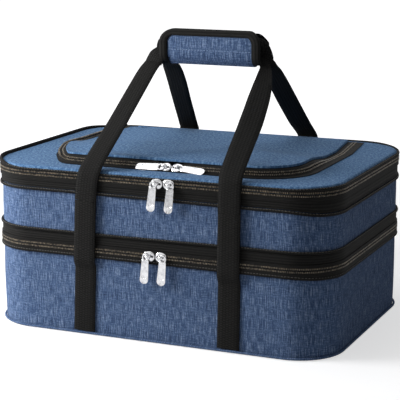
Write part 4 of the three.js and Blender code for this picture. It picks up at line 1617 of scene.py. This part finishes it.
LEGS = {
    (Face.FRONT, Side.LEFT): Leg(-0.0440, (
        (-0.0715, 0.1660, 1.0), (-0.0694, 0.1795, 1.0), (-0.0660, 0.1905, 1.0), (-0.0637, 0.2300, 1.0),
        (-0.0626, 0.2620, 0.98), (-0.0615, 0.2815, 0.95), (-0.0592, 0.2890, 0.90),
        (-0.0568, 0.2930, 0.84)), 0.60, 0.17),
    (Face.FRONT, Side.RIGHT): Leg(0.0655, (
        (0.0954, 0.1660, 1.0), (0.0962, 0.1795, 1.0), (0.0962, 0.1900, 1.03), (0.0908, 0.2380, 1.03),
        (0.0872, 0.2595, 0.96), (0.0845, 0.2710, 0.84), (0.0813, 0.2810, 0.65), (0.0777, 0.2885, 0.47),
        (0.0750, 0.2930, 0.38)), 0.32, 0.36),
    (Face.BACK, Side.LEFT): Leg(-0.0305, (
        (-0.0830, 0.1835, 1.0), (-0.0826, 0.1872, 1.0), (-0.0794, 0.1964, 0.97), (-0.0626, 0.2353, 0.97),
        (-0.0505, 0.2626, 0.97), (-0.0445, 0.2780, 0.94), (-0.0424, 0.2840, 0.87),
        (-0.0408, 0.2890, 0.77)), 0.70, 0.08),
    (Face.BACK, Side.RIGHT): Leg(0.0690, (
        (0.0760, 0.1835, 1.0), (0.0757, 0.1872, 1.0), (0.0752, 0.2085, 1.0), (0.0776, 0.2448, 0.96),
        (0.0799, 0.2705, 0.90), (0.0803, 0.2820, 0.86), (0.0790, 0.2900, 0.74),
        (0.0775, 0.2940, 0.64)), 0.70, 0.38),
}


@dataclass(frozen=True)
class Run:
    """Where a face's webbing is cut, and for each piece the two bodies and the heights of the joint that it
    crosses.
    """

    cuts: tuple[float, float, float]
    bends: tuple[tuple[str, str, float, float], ...]
    nodes: tuple[tuple[str, ...], ...]
    bodies: tuple[str, str]
    span: Point


RUNS = {
    Face.FRONT: Run((0.0042, 0.098, 0.152),
                    (("lower_case", "front_web_low", 0.067, 0.0775),
                     ("front_web_low", "front_web_high", 0.118, 0.132)),
                    (("front_web_sewn", "front_web_low"), ("front_web_high",)),
                    ("front_web_high", "front_handle"), (0.1835, 0.1905)),
    Face.BACK: Run((0.0042, 0.136, 0.1815),
                   (("lower_case", "upper_case", 0.0905, 0.1025), ("upper_case", "lid", 0.1705, 0.1815)),
                   (("back_web_sewn", "back_web_riser"), ()), ("lid", "back_handle"), (0.1825, 0.1955)),
}


@dataclass
class Webbing:
    """Sewn runs, free runs and handle loops of black webbing."""

    finishes: Finishes
    front_feet: tuple[float, float] = (-0.079, 0.093)
    front_shoulders: tuple[float, float] = (-0.072, 0.096)
    back_runs: tuple[float, float] = (-0.083, 0.076)
    foot: float = 0.0042
    shoulder: float = 0.1803
    ramp_low: float = 0.0746
    ramp_high: float = 0.0856
    lift: float = 0.0041
    rigid: float = 0.206
    grip_level: float = 0.307
    turn: float = 0.001
    spacing: float = 0.0018

    def build(self) -> None:
        """Builds the front and back webbing."""
        for side, name in ((Side.LEFT, "left"), (Side.RIGHT, "right")):
            self._run(Face.FRONT, side, name)
            self._run(Face.BACK, side, name)
        self._loop(Face.FRONT)
        self._loop(Face.BACK)

    def _y(self, face: Face, z: float) -> float:
        """Returns where a run's middle lies in depth at a height.

        Args:
            face: The face it lies on.
            z: The height.

        Returns:
            The place in depth.
        """
        share = ease((z - self.ramp_low) / (self.ramp_high - self.ramp_low))
        lift = SIZES.gap + (self.lift - SIZES.gap) * share
        return face.value * (SIZES.depth / 2 + lift + SIZES.web_thick / 2)

    def _x(self, face: Face, side: Side, z: float) -> float:
        """Returns where a run's middle lies across at a height.

        Args:
            face: The face it lies on.
            side: Its side.
            z: The height.

        Returns:
            The place across.
        """
        k = (side.value + 1) // 2
        if face is Face.BACK:
            return self.back_runs[k]
        share = (z - self.foot) / (self.shoulder - self.foot)
        return self.front_feet[k] + (self.front_shoulders[k] - self.front_feet[k]) * share

    def _run(self, face: Face, side: Side, name: str) -> None:
        """Builds one run up a face, in pieces that each cross one joint.

        Args:
            face: The face it lies on.
            side: Its side.
            name: The side's name.
        """
        run = RUNS[face]
        for k, (a, b, low, high) in enumerate(run.bends):
            bottom, top = run.cuts[k], run.cuts[k + 1]
            heights = spread(bottom, top, max(8, round((top - bottom) / 0.0022)))
            middles = [Vector((self._x(face, side, z), self._y(face, z), z)) for z in heights]
            ribbon = Ribbon(middles, [Vector((1, 0, 0))] * len(middles))
            piece = ribbon.piece(f"{face.name.lower()}_webbing_{name}_{k}", bottom)
            dress(piece, self.finishes.web, None, [f"{node}_{name}" for node in run.nodes[k]])
            y = self._y(face, low)
            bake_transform(piece)

    def _loop(self, face: Face) -> None:
        """Builds a handle loop in pieces: two shoulders and the part that rides on the handle.

        Args:
            face: The face it rises from.
        """
        run = RUNS[face]
        left, right = (self._side(face, side, run.cuts[-1]) for side in (Side.LEFT, Side.RIGHT))
        middle = (Vector((0.0, face.value * self.spacing, self.grip_level)), Vector((0, 0, 1)), 1.0)
        whole = Ribbon.through([*left, middle, *reversed(right)], 0.0032)
        count = len(whole.middles)
        first = next(i for i, p in enumerate(whole.middles) if p.z > self.rigid)
        last = next(i for i in range(count - 1, 0, -1) if whole.middles[i].z > self.rigid)
        word, span = face.name.lower(), run.span
        node = f"{word}_handle_loop"
        for name, chosen in (("left", range(first + 1)), ("right", range(last, count))):
            part = whole.stretch(lambda i, p, chosen=chosen: i in chosen)
            piece = dress(part.piece(f"{word}_shoulder_{name}"), self.finishes.web, None, [node])
            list(run.bodies)
            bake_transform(piece)
        part = whole.stretch(lambda i, p: first <= i <= last)
        dress(part.piece(f"{word}_handle_webbing"), self.finishes.web, run.bodies[1], [node])

    def _side(self, face: Face, side: Side, start: float) -> list[tuple[Vector, Vector, float]]:
        """Returns the places of one side of a loop, from its start up to the grip.

        Args:
            face: The face it rises from.
            side: Its side.
            start: The height it starts from.

        Returns:
            Middles with their width directions and shares of the width.
        """
        s, sign, leg = face.value, side.value, LEGS[face, side]
        near, wall = s * self.spacing, self._y(face, 1.0)
        low, high = 0.1885, self.grip_level - SIZES.web / 2 - 0.0053
        places = [(Vector((self._x(face, side, start), wall, start)), Vector((sign, 0, 0)), 1.0)]
        for x, z, share in leg.places:
            rise = clamp((z - low) / (high - low))
            turn = leg.lean * min(1.0, rise * 3)
            across = Vector((sign * math.cos(turn), math.sin(turn), 0))
            places.append((Vector((x, wall + (near - wall) * rise, z)), across, share))
        corner = (self.turn + leg.turn * SIZES.web / 2) * math.sqrt(0.5)
        bottom = self.grip_level - SIZES.web / 2
        place = Vector((leg.hand + sign * corner, near, bottom + corner))
        places.append((place, Vector((sign, 0, 1)), leg.turn))
        for x in (leg.hand, leg.hand - sign * 0.015):
            places.append((Vector((x, near, self.grip_level)), Vector((0, 0, 1)), 1.0))
        return places


@dataclass
class Grip:
    """The padded wrap round the two hand sections, with its binding."""

    finishes: Finishes
    left: float = -0.0468
    right: float = 0.0757
    level: float = 0.3085
    depth: float = 0.0276
    height: float = 0.0383
    round: float = 0.013
    binding: float = 0.0072
    ends: float = 0.0026
    end_round: float = 0.0155
    back_round: float = 0.009
    sag: float = 0.0100
    stitch: tuple[float, float, float] = (0.0026, 0.0009, 0.0005)
    stitch_pitch: float = 0.0036
    fold_reach: float = 0.0072
    fold_swell: float = 1.064
    fold_bend: float = 0.003
    fill: float = 0.6
    gap: float = 0.0003
    slot: Point = (0.0031, 0.0135)
    lap: float = 0.0008
    puff: float = 0.0012
    ripple: float = 0.0005
    trim: float = 0.0014
    proud: float = 0.0013
    hem: float = 0.0006

    def build(self) -> None:
        """Builds the front cover and the back pad, each with its binding."""
        f = self.finishes
        dress(self._half("grip_back_pad", 1), f.cloth, "back_handle", ["grip_pad"])
        dress(self._half("grip_front_pad", -1), f.cloth, "grip_front", ["grip_cover"])
        dress(self._trim("grip_edge_binding", -1), f.strip, "grip_front", ["grip_binding"])
        dress(self._trim("grip_back_binding", 1), f.strip, "back_handle")
        # The lower crease is drawn as black dashes: painted shade along the fold of the cover.
        for name, z, span, finish in (("grip_seam", self.level - 0.0034, 0.0125, f.seam),
                                      ("grip_lower_crease", self.level - 0.0136, 0.0115, f.strip)):
            dress(self._seam(name, z, span), finish, "grip_front")
        fold = dress(self._fold(), f.cloth, None)
        low = self.level - self.height / 2
        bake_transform(fold)

    def _fold(self) -> bpy.types.Object:
        """Makes the strip of cloth under the wrap that its front half swings on."""
        d, h, r = self.depth / 2, self.height / 2, self.round
        line = []
        for k in range(-6, 7):
            y = self.fold_reach * k / 6
            drop = h - r + math.sqrt(r ** 2 - max(0.0, abs(y) - (d - r)) ** 2)
            line.append((y, self.level - drop * self.fold_swell - 0.0002))
        line += [(y, z - 0.0005) for y, z in reversed(line)]
        inset = self.binding + self.ends + 0.0006
        return bar("grip_lower_fold", line, [self.left + inset, self.right - inset], 50)

    def _settle(self, p: Vector) -> Vector:
        """Returns a point with the back half's top sunk below the front's.

        Args:
            p: The point.

        Returns:
            The same point, or a lower one.
        """
        if p.y <= 0 or p.z <= self.level:
            return p
        share = min(1.0, p.y / (self.depth / 2)) * (p.z - self.level) / (self.height / 2)
        return p - Vector((0, 0, self.sag * share))

    def _seam(self, name: str, z: float, inset: float) -> bpy.types.Object:
        """Makes a line of short blocks along the cover: the seam's stitches, and the black dashes of painted
        shade along the lower crease.

        Args:
            name: The piece's name.
            z: Its height.
            inset: How far it ends inside the wrap's ends.

        Returns:
            The new piece.
        """
        section = self._section(-1, 0.0)
        maker = MeshMaker()
        x = self.left + inset
        while x < self.right - inset:
            place = Vector((x, self._front(z, section) * 1.055 - 0.0002, z))
            maker.block(frame_at(place, Vector((1, 0, 0)), Vector((0, -1, 0))), self.stitch, 0.7)
            x += self.stitch_pitch
        return maker.make(name, 60)

    def _section(self, side: int, swell: float) -> list[Point]:
        """Returns the outer section of one half, from its top inner corner round to its bottom one.

        Args:
            side: -1 at the front, 1 at the back.
            swell: How far it lies outside the padding.

        Returns:
            Depths and heights round it.
        """
        d, h, r = self.depth / 2 + swell, self.height / 2 + swell, self.round
        turns = spread(0.0, math.pi / 2, 8)
        points = [(self.gap, h)]
        points += [(d - r + r * math.sin(a), h - r + r * math.cos(a)) for a in turns]
        points += [(d - r + r * math.cos(a), -h + r - r * math.sin(a)) for a in turns]
        points.append((self.gap, -h))
        return [(side * y, z) for y, z in points]

    def _half(self, name: str, side: int) -> bpy.types.Object:
        """Builds one padded half, whose ends and top edge lie under its binding.

        Args:
            name: The piece's name.
            side: -1 at the front, 1 at the back.

        Returns:
            The new piece.
        """
        deep, half = self.slot
        slot = [(self.gap, -half), (deep, -half), (deep, half), (self.gap, half)]
        inner = [(side * y, z) for y, z in slot]
        inset = self.binding + self.ends - self.lap
        x0, x1 = self.left + inset, self.right - inset
        limit = self.level + self.height / 2 - self.binding + self.lap
        columns = 44
        rows, us = [], []
        for k in range(columns + 1):
            share = k / columns
            x = x0 + (x1 - x0) * share
            edge = min(x - x0, x1 - x)
            puff = self.puff * min(1.0, edge / 0.012) ** 0.5
            row = []
            for y, z in self._section(side, 0.0):
                ripple = self.ripple * noise.noise(Vector((x * 60, z * 60, y * 60)))
                grow = 1 + (puff + ripple) / (self.height / 2)
                flat = 1 if abs(y) < 0.001 else grow
                row.append(Vector((x, y * grow, self.level + z * flat)))
            row += [Vector((x, y, self.level + z)) for y, z in inner]
            row = [self._settle(Vector((p.x, p.y, min(p.z, limit)))) for p in row]
            rows.append(row)
            us.append(x)
        maker = MeshMaker()
        maker.tube(rows, us, girths([side_view(p) for p in rows[0]]), side_view)
        return maker.make(name, 50)

    def _trim(self, name: str, side: int) -> bpy.types.Object:
        """Builds the binding round one half's ends and top edge.

        Args:
            name: The piece's name.
            side: -1 at the front, 1 at the back.

        Returns:
            The new piece.
        """
        section = self._section(-1, self.trim)
        maker = MeshMaker()
        outline = self._edge_path(self.end_round if side < 0 else self.back_round)
        run = lengths([(x, z) for x, z, _, _ in outline])
        rows = []
        for x, z, nx, nz in outline:
            wide, row = self.binding + self.ends * abs(nx), []
            for reach in self._across(wide):
                px, pz = x - nx * reach, z - nz * reach
                proud = self.proud * math.sin(math.pi * reach / wide) ** 0.5
                row.append(Vector((px, -side * (self._front(pz, section) - proud), pz)))
            for reach in (wide, 0.0):
                px, pz = x - nx * reach, z - nz * reach
                inner = min(-0.0032 if reach else -0.0003, self._front(pz, section) + 0.0022)
                row.append(Vector((px, -side * inner, pz)))
            rows.append([self._settle(p) for p in row])
        wide = self.binding
        maker.tube(rows, run, [*self._across(wide), wide + 0.002, 2 * wide, 2 * wide + 0.002])
        return maker.make(name, 50)

    def _across(self, wide: float) -> list[float]:
        """Returns places across the binding, close at its edges."""
        return [0.0, self.hem, wide * 0.25, wide * 0.5, wide * 0.75, wide - self.hem, wide]

    def _edge_path(self, r: float) -> list[tuple[float, float, float, float]]:
        """Returns a half's edge from its bottom left up, over and down.

        Args:
            r: The radius of its corners.

        Returns:
            Each place across and up, with its outward normal.
        """
        low, high = self.level - self.height / 2 + 0.0012, self.level + self.height / 2 + 0.0005
        bend, turns = high - r, spread(0.0, math.pi / 2, 8)
        path = [(self.left, z, -1.0, 0.0) for z in spread(low, bend, 8)]
        for a in turns[1:]:
            cos, sin = math.cos(a), math.sin(a)
            path.append((self.left + r - r * cos, bend + r * sin, -cos, sin))
        span = self.right - self.left - 2 * r
        path += [(self.left + r + span * k / 16, high, 0.0, 1.0) for k in range(1, 16)]
        for a in reversed(turns):
            cos, sin = math.cos(a), math.sin(a)
            path.append((self.right - r + r * cos, bend + r * sin, cos, sin))
        path += [(self.right, z, 1.0, 0.0) for z in spread(bend, low, 8)[1:]]
        return path

    def _front(self, z: float, section: Sequence[Point]) -> float:
        """Returns how far forward a section reaches at a height.

        Args:
            z: The height.
            section: Depths and heights round it, about the wrap's middle.

        Returns:
            The foremost depth.
        """
        local = z - self.level
        best = -0.0004
        for (y0, z0), (y1, z1) in zip(section, section[1:]):
            if min(z0, z1) - 1e-9 <= local <= max(z0, z1) + 1e-9 and z0 != z1:
                share = (local - z0) / (z1 - z0)
                best = min(best, y0 + (y1 - y0) * share)
        return best


@dataclass(frozen=True)
class Hang:
    """How one pull hangs: its swing from straight down, its twist about its length and its lean outwards."""

    turn: float
    twist: float
    lean: float


HANGS = {
    ("mid", Side.LEFT): Hang(-4.3, 0.0, 1.0), ("mid", Side.RIGHT): Hang(-4.0, 0.0, 2.2),
    ("lid", Side.LEFT): Hang(-6.8, 0.0, 0.5), ("lid", Side.RIGHT): Hang(-4.6, 0.0, 4.0),
    ("flap", Side.LEFT): Hang(-84.0, 7.0, 0.0), ("flap", Side.RIGHT): Hang(84.0, 10.0, 0.0),
}


@dataclass(frozen=True)
class SliderShape:
    """A slider: two plates joined by a post at the nose, and a bridge that carries the pull."""

    length: float = 0.0126
    half: float = 0.0054
    edge: tuple[Point, ...] = (
        (0.0, 0.0022), (0.0003, 0.0032), (0.0012, 0.0042), (0.0030, 0.0048), (0.0052, 0.0052),
        (0.0074, 0.0054), (0.0092, 0.0051), (0.0106, 0.0043), (0.0116, 0.0032), (0.0122, 0.0021),
        (0.0125, 0.0011))
    window: tuple[float, float, float] = (0.0097, 0.0013, 0.0011)
    bridge: tuple[tuple[float, float, float], ...] = (
        (0.0027, 0.0042, 0.0008), (0.0027, 0.0068, 0.0008), (0.0030, 0.0079, 0.0010),
        (0.0039, 0.00855, 0.0013), (0.0054, 0.0087, 0.0015), (0.0068, 0.0084, 0.0015),
        (0.0078, 0.0074, 0.0014), (0.0083, 0.0060, 0.0013), (0.0084, 0.0043, 0.0012))
    strip: float = 0.00055
    inner_plate: Point = (0.0004, 0.0014)
    outer_plate: tuple[float, float, float, float] = (0.0038, 0.0040, 0.0043, 0.0047)
    outer_shares: tuple[float, float, float, float] = (0.97, 1.0, 1.0, 0.92)
    crown: float = 0.0050
    post_place: tuple[float, float, float] = (0.0113, 0.0, 0.0027)
    post: tuple[float, float, float] = (0.0011, 0.0008, 0.0030)

    def build(self, name: str, frame: Matrix) -> bpy.types.Object:
        """Returns the slider.

        Args:
            name: The piece's name.
            frame: Its place: X from tail to nose, Z out of the wall.

        Returns:
            The new piece.
        """
        maker = MeshMaker()
        rim = [*self.edge, *((x, -y) for x, y in reversed(self.edge))]
        x0, a, b = self.window
        turns = [math.atan2(y, x - x0) for x, y in rim]
        hole = [(x0 + a * math.cos(t), b * math.sin(t)) for t in turns]
        centre = self.length / 2
        upper = []
        for (x, y), (hx, hy) in zip(rim, hole):
            wide = [(centre + (x - centre) * k, y * k) for k in self.outer_shares]
            row = [Vector((px, py, z)) for (px, py), z in zip(wide, self.outer_plate)]
            row.append(Vector(((wide[3][0] + hx) / 2, (wide[3][1] + hy) / 2, self.crown)))
            for k, z in ((1.3, 0.0049), (1.0, 0.0046), (1.0, 0.0038)):
                row.append(Vector((x0 + (hx - x0) * k, hy * k, z)))
            upper.append([frame @ p for p in row])
        run = [0.0015 * k for k in range(len(rim))]
        around = [0.0008 * k for k in range(8)]
        maker.grid(upper, run, around, 0.0015 * len(rim), 0.0064)
        lower = [[frame @ Vector((x, y, z)) for z in self.inner_plate] for x, y in rim]
        first = len(maker.points)
        maker.grid(lower, run, (0.0, 0.001), 0.0015 * len(rim))
        for k in (0, 1):
            maker.cap(range(first + k, first + 2 * len(rim), 2), lambda p: (p.x, p.z))
        maker.block(frame @ Matrix.Translation(self.post_place), self.post)
        self._bridge(maker, frame)
        return maker.make(name, 32)

    def _bridge(self, maker: MeshMaker, frame: Matrix) -> None:
        """Adds the bridge, a strip that arches over the outer plate.

        Args:
            maker: The slider's mesh.
            frame: The slider's place.
        """
        rows = []
        for k, (x, z, half) in enumerate(self.bridge):
            before, after = self.bridge[max(0, k - 1)], self.bridge[min(len(self.bridge) - 1, k + 1)]
            along = Vector((after[0] - before[0], 0, after[1] - before[1])).normalized()
            out = Vector((-along.z, 0, along.x)) * self.strip
            middle, wide = Vector((x, 0, z)), Vector((0, half, 0))
            section = (middle - out - wide, middle + out * 0.4 - wide, middle + out - wide * 0.6,
                       middle + out + wide * 0.6, middle + out * 0.4 + wide, middle - out + wide)
            rows.append([frame @ p for p in section])
        maker.tube(rows, [0.001 * k for k in range(len(rows))], [0.0006 * k for k in range(7)])


@dataclass(frozen=True)
class PullShape:
    """A pull: a ring round the bridge's leg and a long plate with a raised rim."""

    drop: float = 0.00115
    ring: float = 0.0042
    hole: float = 0.0026
    low: float = 0.0056
    high: float = 0.0068
    top: float = -0.0036
    end: float = -0.0306
    neck: float = 0.0042
    half: float = 0.0050
    bevel: float = 0.0003
    rim_bevel: float = 0.00035
    shoulder: float = 0.0013
    facet: float = 0.0056
    facet_drop: float = 0.0006

    def build(self, name: str, frame: Matrix) -> bpy.types.Object:
        """Returns the pull.

        Args:
            name: The piece's name.
            frame: Its place: the pivot, with the plate towards -Y and Z out of the wall.

        Returns:
            The new piece.
        """
        maker = MeshMaker()
        mid = (self.low + self.high) / 2
        bevel, rim_bevel = self.bevel, self.rim_bevel
        section = ((self.ring - bevel, self.low), (self.ring, mid - bevel), (self.ring, mid + bevel),
                   (self.ring - rim_bevel, self.high), (self.hole + rim_bevel, self.high),
                   (self.hole, mid + bevel), (self.hole, mid - bevel), (self.hole + bevel, self.low))
        count, rows = 26, []
        for k in range(count):
            sin, cos = math.sin(math.tau * k / count), math.cos(math.tau * k / count)
            rows.append([frame @ Vector((r * sin, r * cos - self.drop, z)) for r, z in section])
        runs, around = [0.001 * k for k in range(count)], [0.0006 * k for k in range(8)]
        maker.grid(rows, runs, around, 0.001 * count, 0.0048)
        self._plate(maker, frame)
        return maker.make(name, 28)

    def _plate(self, maker: MeshMaker, frame: Matrix) -> None:
        """Adds the plate: bevelled edges, a raised rim, a sunk panel and a facet at its end.

        Args:
            maker: The pull's mesh.
            frame: The pull's place.
        """
        turn, shoulder = self.end + self.half, self.top - self.shoulder
        side = [(-self.neck * 0.75, self.top), (-self.neck * 0.93, self.top - 0.0004), (-self.neck, shoulder)]
        for k in range(1, 6):
            side.append((-self.neck - (self.half - self.neck) * k / 5, shoulder + (turn - shoulder) * k / 5))
        for a in (0.26, 0.52, 0.78, 1.05, 1.31):
            side.append((-self.half * math.cos(a), turn - self.half * math.sin(a)))
        rim = [*side, (0.0, self.end), *((-x, y) for x, y in reversed(side))]
        middle = (self.top + self.end) / 2
        facet = self.end + self.facet
        rings = ((0.92, 0.975, 0.0, self.low), (1.0, 1.0, 0.0, self.low + 0.00025),
                 (1.0, 1.0, 0.0, self.high - self.bevel), (0.915, 0.972, 0.0, self.high),
                 (0.72, 0.68, 0.0014, self.high), (0.66, 0.655, 0.0014, self.high - 0.0004))
        rows = []
        for x, y in rim:
            row = []
            for wide, tall, shift, z in rings:
                px, py = x * wide, middle + (y - middle) * tall + shift
                fall = max(0.0, facet - py) / self.facet
                drop = self.facet_drop * fall * fall if z >= self.high - 1e-6 else 0.0
                row.append(frame @ Vector((px, py, z - drop)))
            rows.append(row)
        first, count, deep = len(maker.points), len(rim), len(rings)
        maker.grid(rows, [0.002 * k for k in range(count)], [0.0006 * k for k in range(deep)], 0.002 * count)
        for k in (0, deep - 1):
            maker.cap(range(first + k, first + deep * count, deep), lambda p: (p.x, p.z))


@dataclass
class Hardware:
    """The three pairs of sliders, nose to nose, with their pulls."""

    finishes: Finishes
    slider: SliderShape = SliderShape()
    pull: PullShape = PullShape()
    spacing: float = 0.0004
    leg: float = 0.0028
    play: float = 0.0013
    mid_meeting: float = 0.0093
    lid_meeting: float = 0.0188
    flap_meeting: tuple[float, float, float] = (0.0120, -0.1078, 0.1868)
    flap_rise: tuple[float, float, float] = (0.0, 0.7075, 0.7067)
    flap_slip: float = 0.0018

    def build(self) -> None:
        """Builds the sliders and pulls of each zipper."""
        across, up = Vector((1, 0, 0)), Vector((0, 0, 1))
        steep, wall = Vector(self.flap_rise), -SIZES.depth / 2
        pairs = (("mid", Vector((self.mid_meeting, wall, SIZES.mid + SIZES.chain_rise)), up, 0.0),
                 ("lid", Vector((self.lid_meeting, wall, SIZES.lid + SIZES.chain_rise)), up, 0.0),
                 ("flap", Vector(self.flap_meeting) - steep * self.flap_slip, steep, self.play))
        for zipper, origin, rise, play in pairs:
            basis = Matrix((across, rise, across.cross(rise))).transposed().to_4x4()
            basis.translation = origin
            for side in Side:
                self._pair(zipper, side, basis, play)

    def _pair(self, zipper: str, side: Side, basis: Matrix, play: float) -> None:
        """Builds one slider and its pull.

        Args:
            zipper: The zipper's name.
            side: Which of the pair it is.
            basis: The pair's place: X along the chain, Y up the wall, Z out of it.
            play: How far the pull has slid down in its ring.
        """
        word, sign = side.name.lower(), side.value
        tail = sign * (self.spacing + self.slider.length)
        facing = Matrix.Rotation(math.pi if sign > 0 else 0.0, 4, "Z")
        frame = basis @ Matrix.Translation((tail, 0, 0)) @ facing
        node = f"{zipper}_slider_{word}"
        dress(self.slider.build(f"{node}_metal", frame), self.finishes.nickel, node, [node])
        hang = HANGS[zipper, side]
        turn, twist, lean = (math.radians(v) for v in (hang.turn, hang.twist, hang.lean))
        level = (self.pull.low + self.pull.high) / 2
        frame = (basis @ Matrix.Translation((tail - sign * self.leg, -play, level))
                 @ Matrix.Rotation(turn, 4, "Z") @ Matrix.Rotation(twist, 4, "Y")
                 @ Matrix.Translation((0, self.pull.hole, 0)) @ Matrix.Rotation(-lean, 4, "X")
                 @ Matrix.Translation((0, -self.pull.hole, -level)))
        node = f"{zipper}_pull_{word}"
        dress(self.pull.build(f"{node}_metal", frame), self.finishes.nickel, node, [node])


@dataclass
class Underside:
    """The bottom cloth, the divider's underside and the hidden boards."""

    finishes: Finishes

    def build(self) -> None:
        """Builds the flat panels."""
        base = self._panel("base_cloth", "base_panel", 0.0005)
        dress(base, self.finishes.cloth, "lower_case", ["base_panel", "base_stiffener"])
        board = self._panel("divider_cover", "divider_board", 0.0015)
        dress(board, self.finishes.foil, "upper_case", ["divider_board"])

    @staticmethod
    def _panel(name: str, node: str, inset: float) -> bpy.types.Object:
        """Makes one flat panel.

        Args:
            name: The piece's name.
            node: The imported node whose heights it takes.
            inset: How far inside the body's outline it ends.

        Returns:
            The new piece.
        """
        low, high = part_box(node)
        edge = body_outline().moved(-inset)
        return plate(name, edge, None, lambda x, y, share: high.z, high.z - low.z, 10, 160)


@dataclass(frozen=True)
class Lamp:
    """A soft square lamp: where it hangs, its side and its power."""

    name: str
    place: tuple[float, float, float]
    size: float
    power: float


LAMPS = (Lamp("key", (-0.76, -0.48, 0.45), 0.40, 11.0), Lamp("fill", (1.9, -1.4, 1.1), 1.6, 1.2),
         Lamp("top", (-0.7, -0.28, 1.75), 1.5, 10.0), Lamp("back", (-0.4, 2.0, 1.5), 1.4, 4.0))


@dataclass
class Studio:
    """Pale floor, soft lights, camera and world."""

    yaw: float = 23.53
    pitch: float = 12.00
    roll: float = -0.08
    focal_px: float = 1452.3
    frame_px: float = 400.0
    shift: tuple[float, float] = (0.00272, -0.03405)
    distance: float = 1.6924
    aim: tuple[float, float, float] = (0.0, 0.0, 0.095)
    lit: tuple[float, float, float] = (0.0, 0.0, 0.12)
    mirrored: float = 0.55
    ambient: float = 0.155

    def build(self) -> None:
        """Builds the studio."""
        self._camera()
        self._floor()
        self._lights()
        self._world()
        bpy.context.scene.view_settings.view_transform = "Standard"

    def _camera(self) -> None:
        """Places the camera."""
        yaw, pitch, roll = (math.radians(v) for v in (self.yaw, self.pitch, self.roll))
        look = Vector((-math.sin(yaw) * math.cos(pitch), math.cos(yaw) * math.cos(pitch), -math.sin(pitch)))
        right = Vector((math.cos(yaw), math.sin(yaw), 0))
        up = right.cross(look)
        right, up = right * math.cos(roll) + up * math.sin(roll), up * math.cos(roll) - right * math.sin(roll)
        place = Vector(self.aim) - look * self.distance - right * self.shift[0] - up * self.shift[1]
        data = bpy.data.cameras.new("camera")
        data.lens = self.focal_px * data.sensor_width / self.frame_px
        camera = link("camera", data)
        camera.matrix_world = Matrix.Translation(place) @ Matrix((right, up, -look)).transposed().to_4x4()
        bpy.context.scene.camera = camera

    def _floor(self) -> None:
        """Builds the floor, which is white to the camera outside the carrier's shadow."""
        maker = MeshMaker()
        size, count = 14.0, 12
        line = [size * (2 * k / count - 1) for k in range(count + 1)]
        maker.grid([[Vector((x, y, -0.0002)) for y in line] for x in line], line, line)
        floor = maker.make("floor")
        sh = Shader("pale floor")
        path, glossy, _ = sh.rays()
        base = sh.node("ShaderNodeBsdfDiffuse", None, {"Color": (0.62, 0.62, 0.63, 1)})
        length = sh.node("ShaderNodeVectorMath", {"operation": "LENGTH"}, {0: sh.place()}, "Value")
        strength = (path + glossy * self.mirrored) * (length.ramp(0.45, 1.6) * 0.38 + 0.605)
        glow = sh.node("ShaderNodeEmission", None, {"Color": (1, 1, 1, 1), "Strength": strength})
        sh.end(sh.node("ShaderNodeAddShader", None, {0: base, 1: glow}))
        floor.data.materials.append(sh.owner)

    def _lights(self) -> None:
        """Places the soft lamps, turned towards the carrier."""
        for lamp in LAMPS:
            data = bpy.data.lights.new(lamp.name, "AREA")
            data.shape, data.size, data.energy = "SQUARE", lamp.size, lamp.power
            hung = link(lamp.name, data)
            hung.location = lamp.place
            look = Vector(self.lit) - Vector(lamp.place)
            hung.rotation_euler = look.to_track_quat("-Z", "Y").to_euler()

    def _world(self) -> None:
        """Makes the world white to the camera and grey to the object."""
        sh = Shader("studio", bpy.data.worlds)
        bpy.context.scene.world = sh.owner
        camera, glossy, clear = sh.rays()
        seen = sh.node("ShaderNodeMath", {"operation": "MAXIMUM"}, {0: camera, 1: clear})
        share = sh.node("ShaderNodeMath", {"operation": "MULTIPLY_ADD", "use_clamp": True},
                        {0: glossy, 1: self.mirrored, 2: seen})
        tint = (0.95, 0.97, 1.0, 1)
        plain = sh.node("ShaderNodeBackground", None, {"Color": tint, "Strength": self.ambient})
        white = sh.node("ShaderNodeBackground", None, {"Color": (1, 1, 1, 1), "Strength": 1.0})
        sh.end(sh.node("ShaderNodeMixShader", None, {0: share, 1: plain, 2: white}), "ShaderNodeOutputWorld")


def main() -> None:
    """Builds the dressed carrier and its studio."""
    logging.basicConfig(level=logging.INFO, format="%(name)s: %(message)s")
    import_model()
    Studio().build()
    finishes = Finishes()
    Deck("lower", "lower_case", 0.0018, 0.0963, 0.0098, finishes).build()
    Deck("upper", "upper_case", 0.0967, 0.1763, 0.1043, finishes).build()
    Underside(finishes).build()
    Bands(finishes).build()
    Lid(finishes).build()
    Flap(finishes).build()
    Webbing(finishes).build()
    Grip(finishes).build()
    Hardware(finishes).build()


if __name__ == "__main__":
    main()
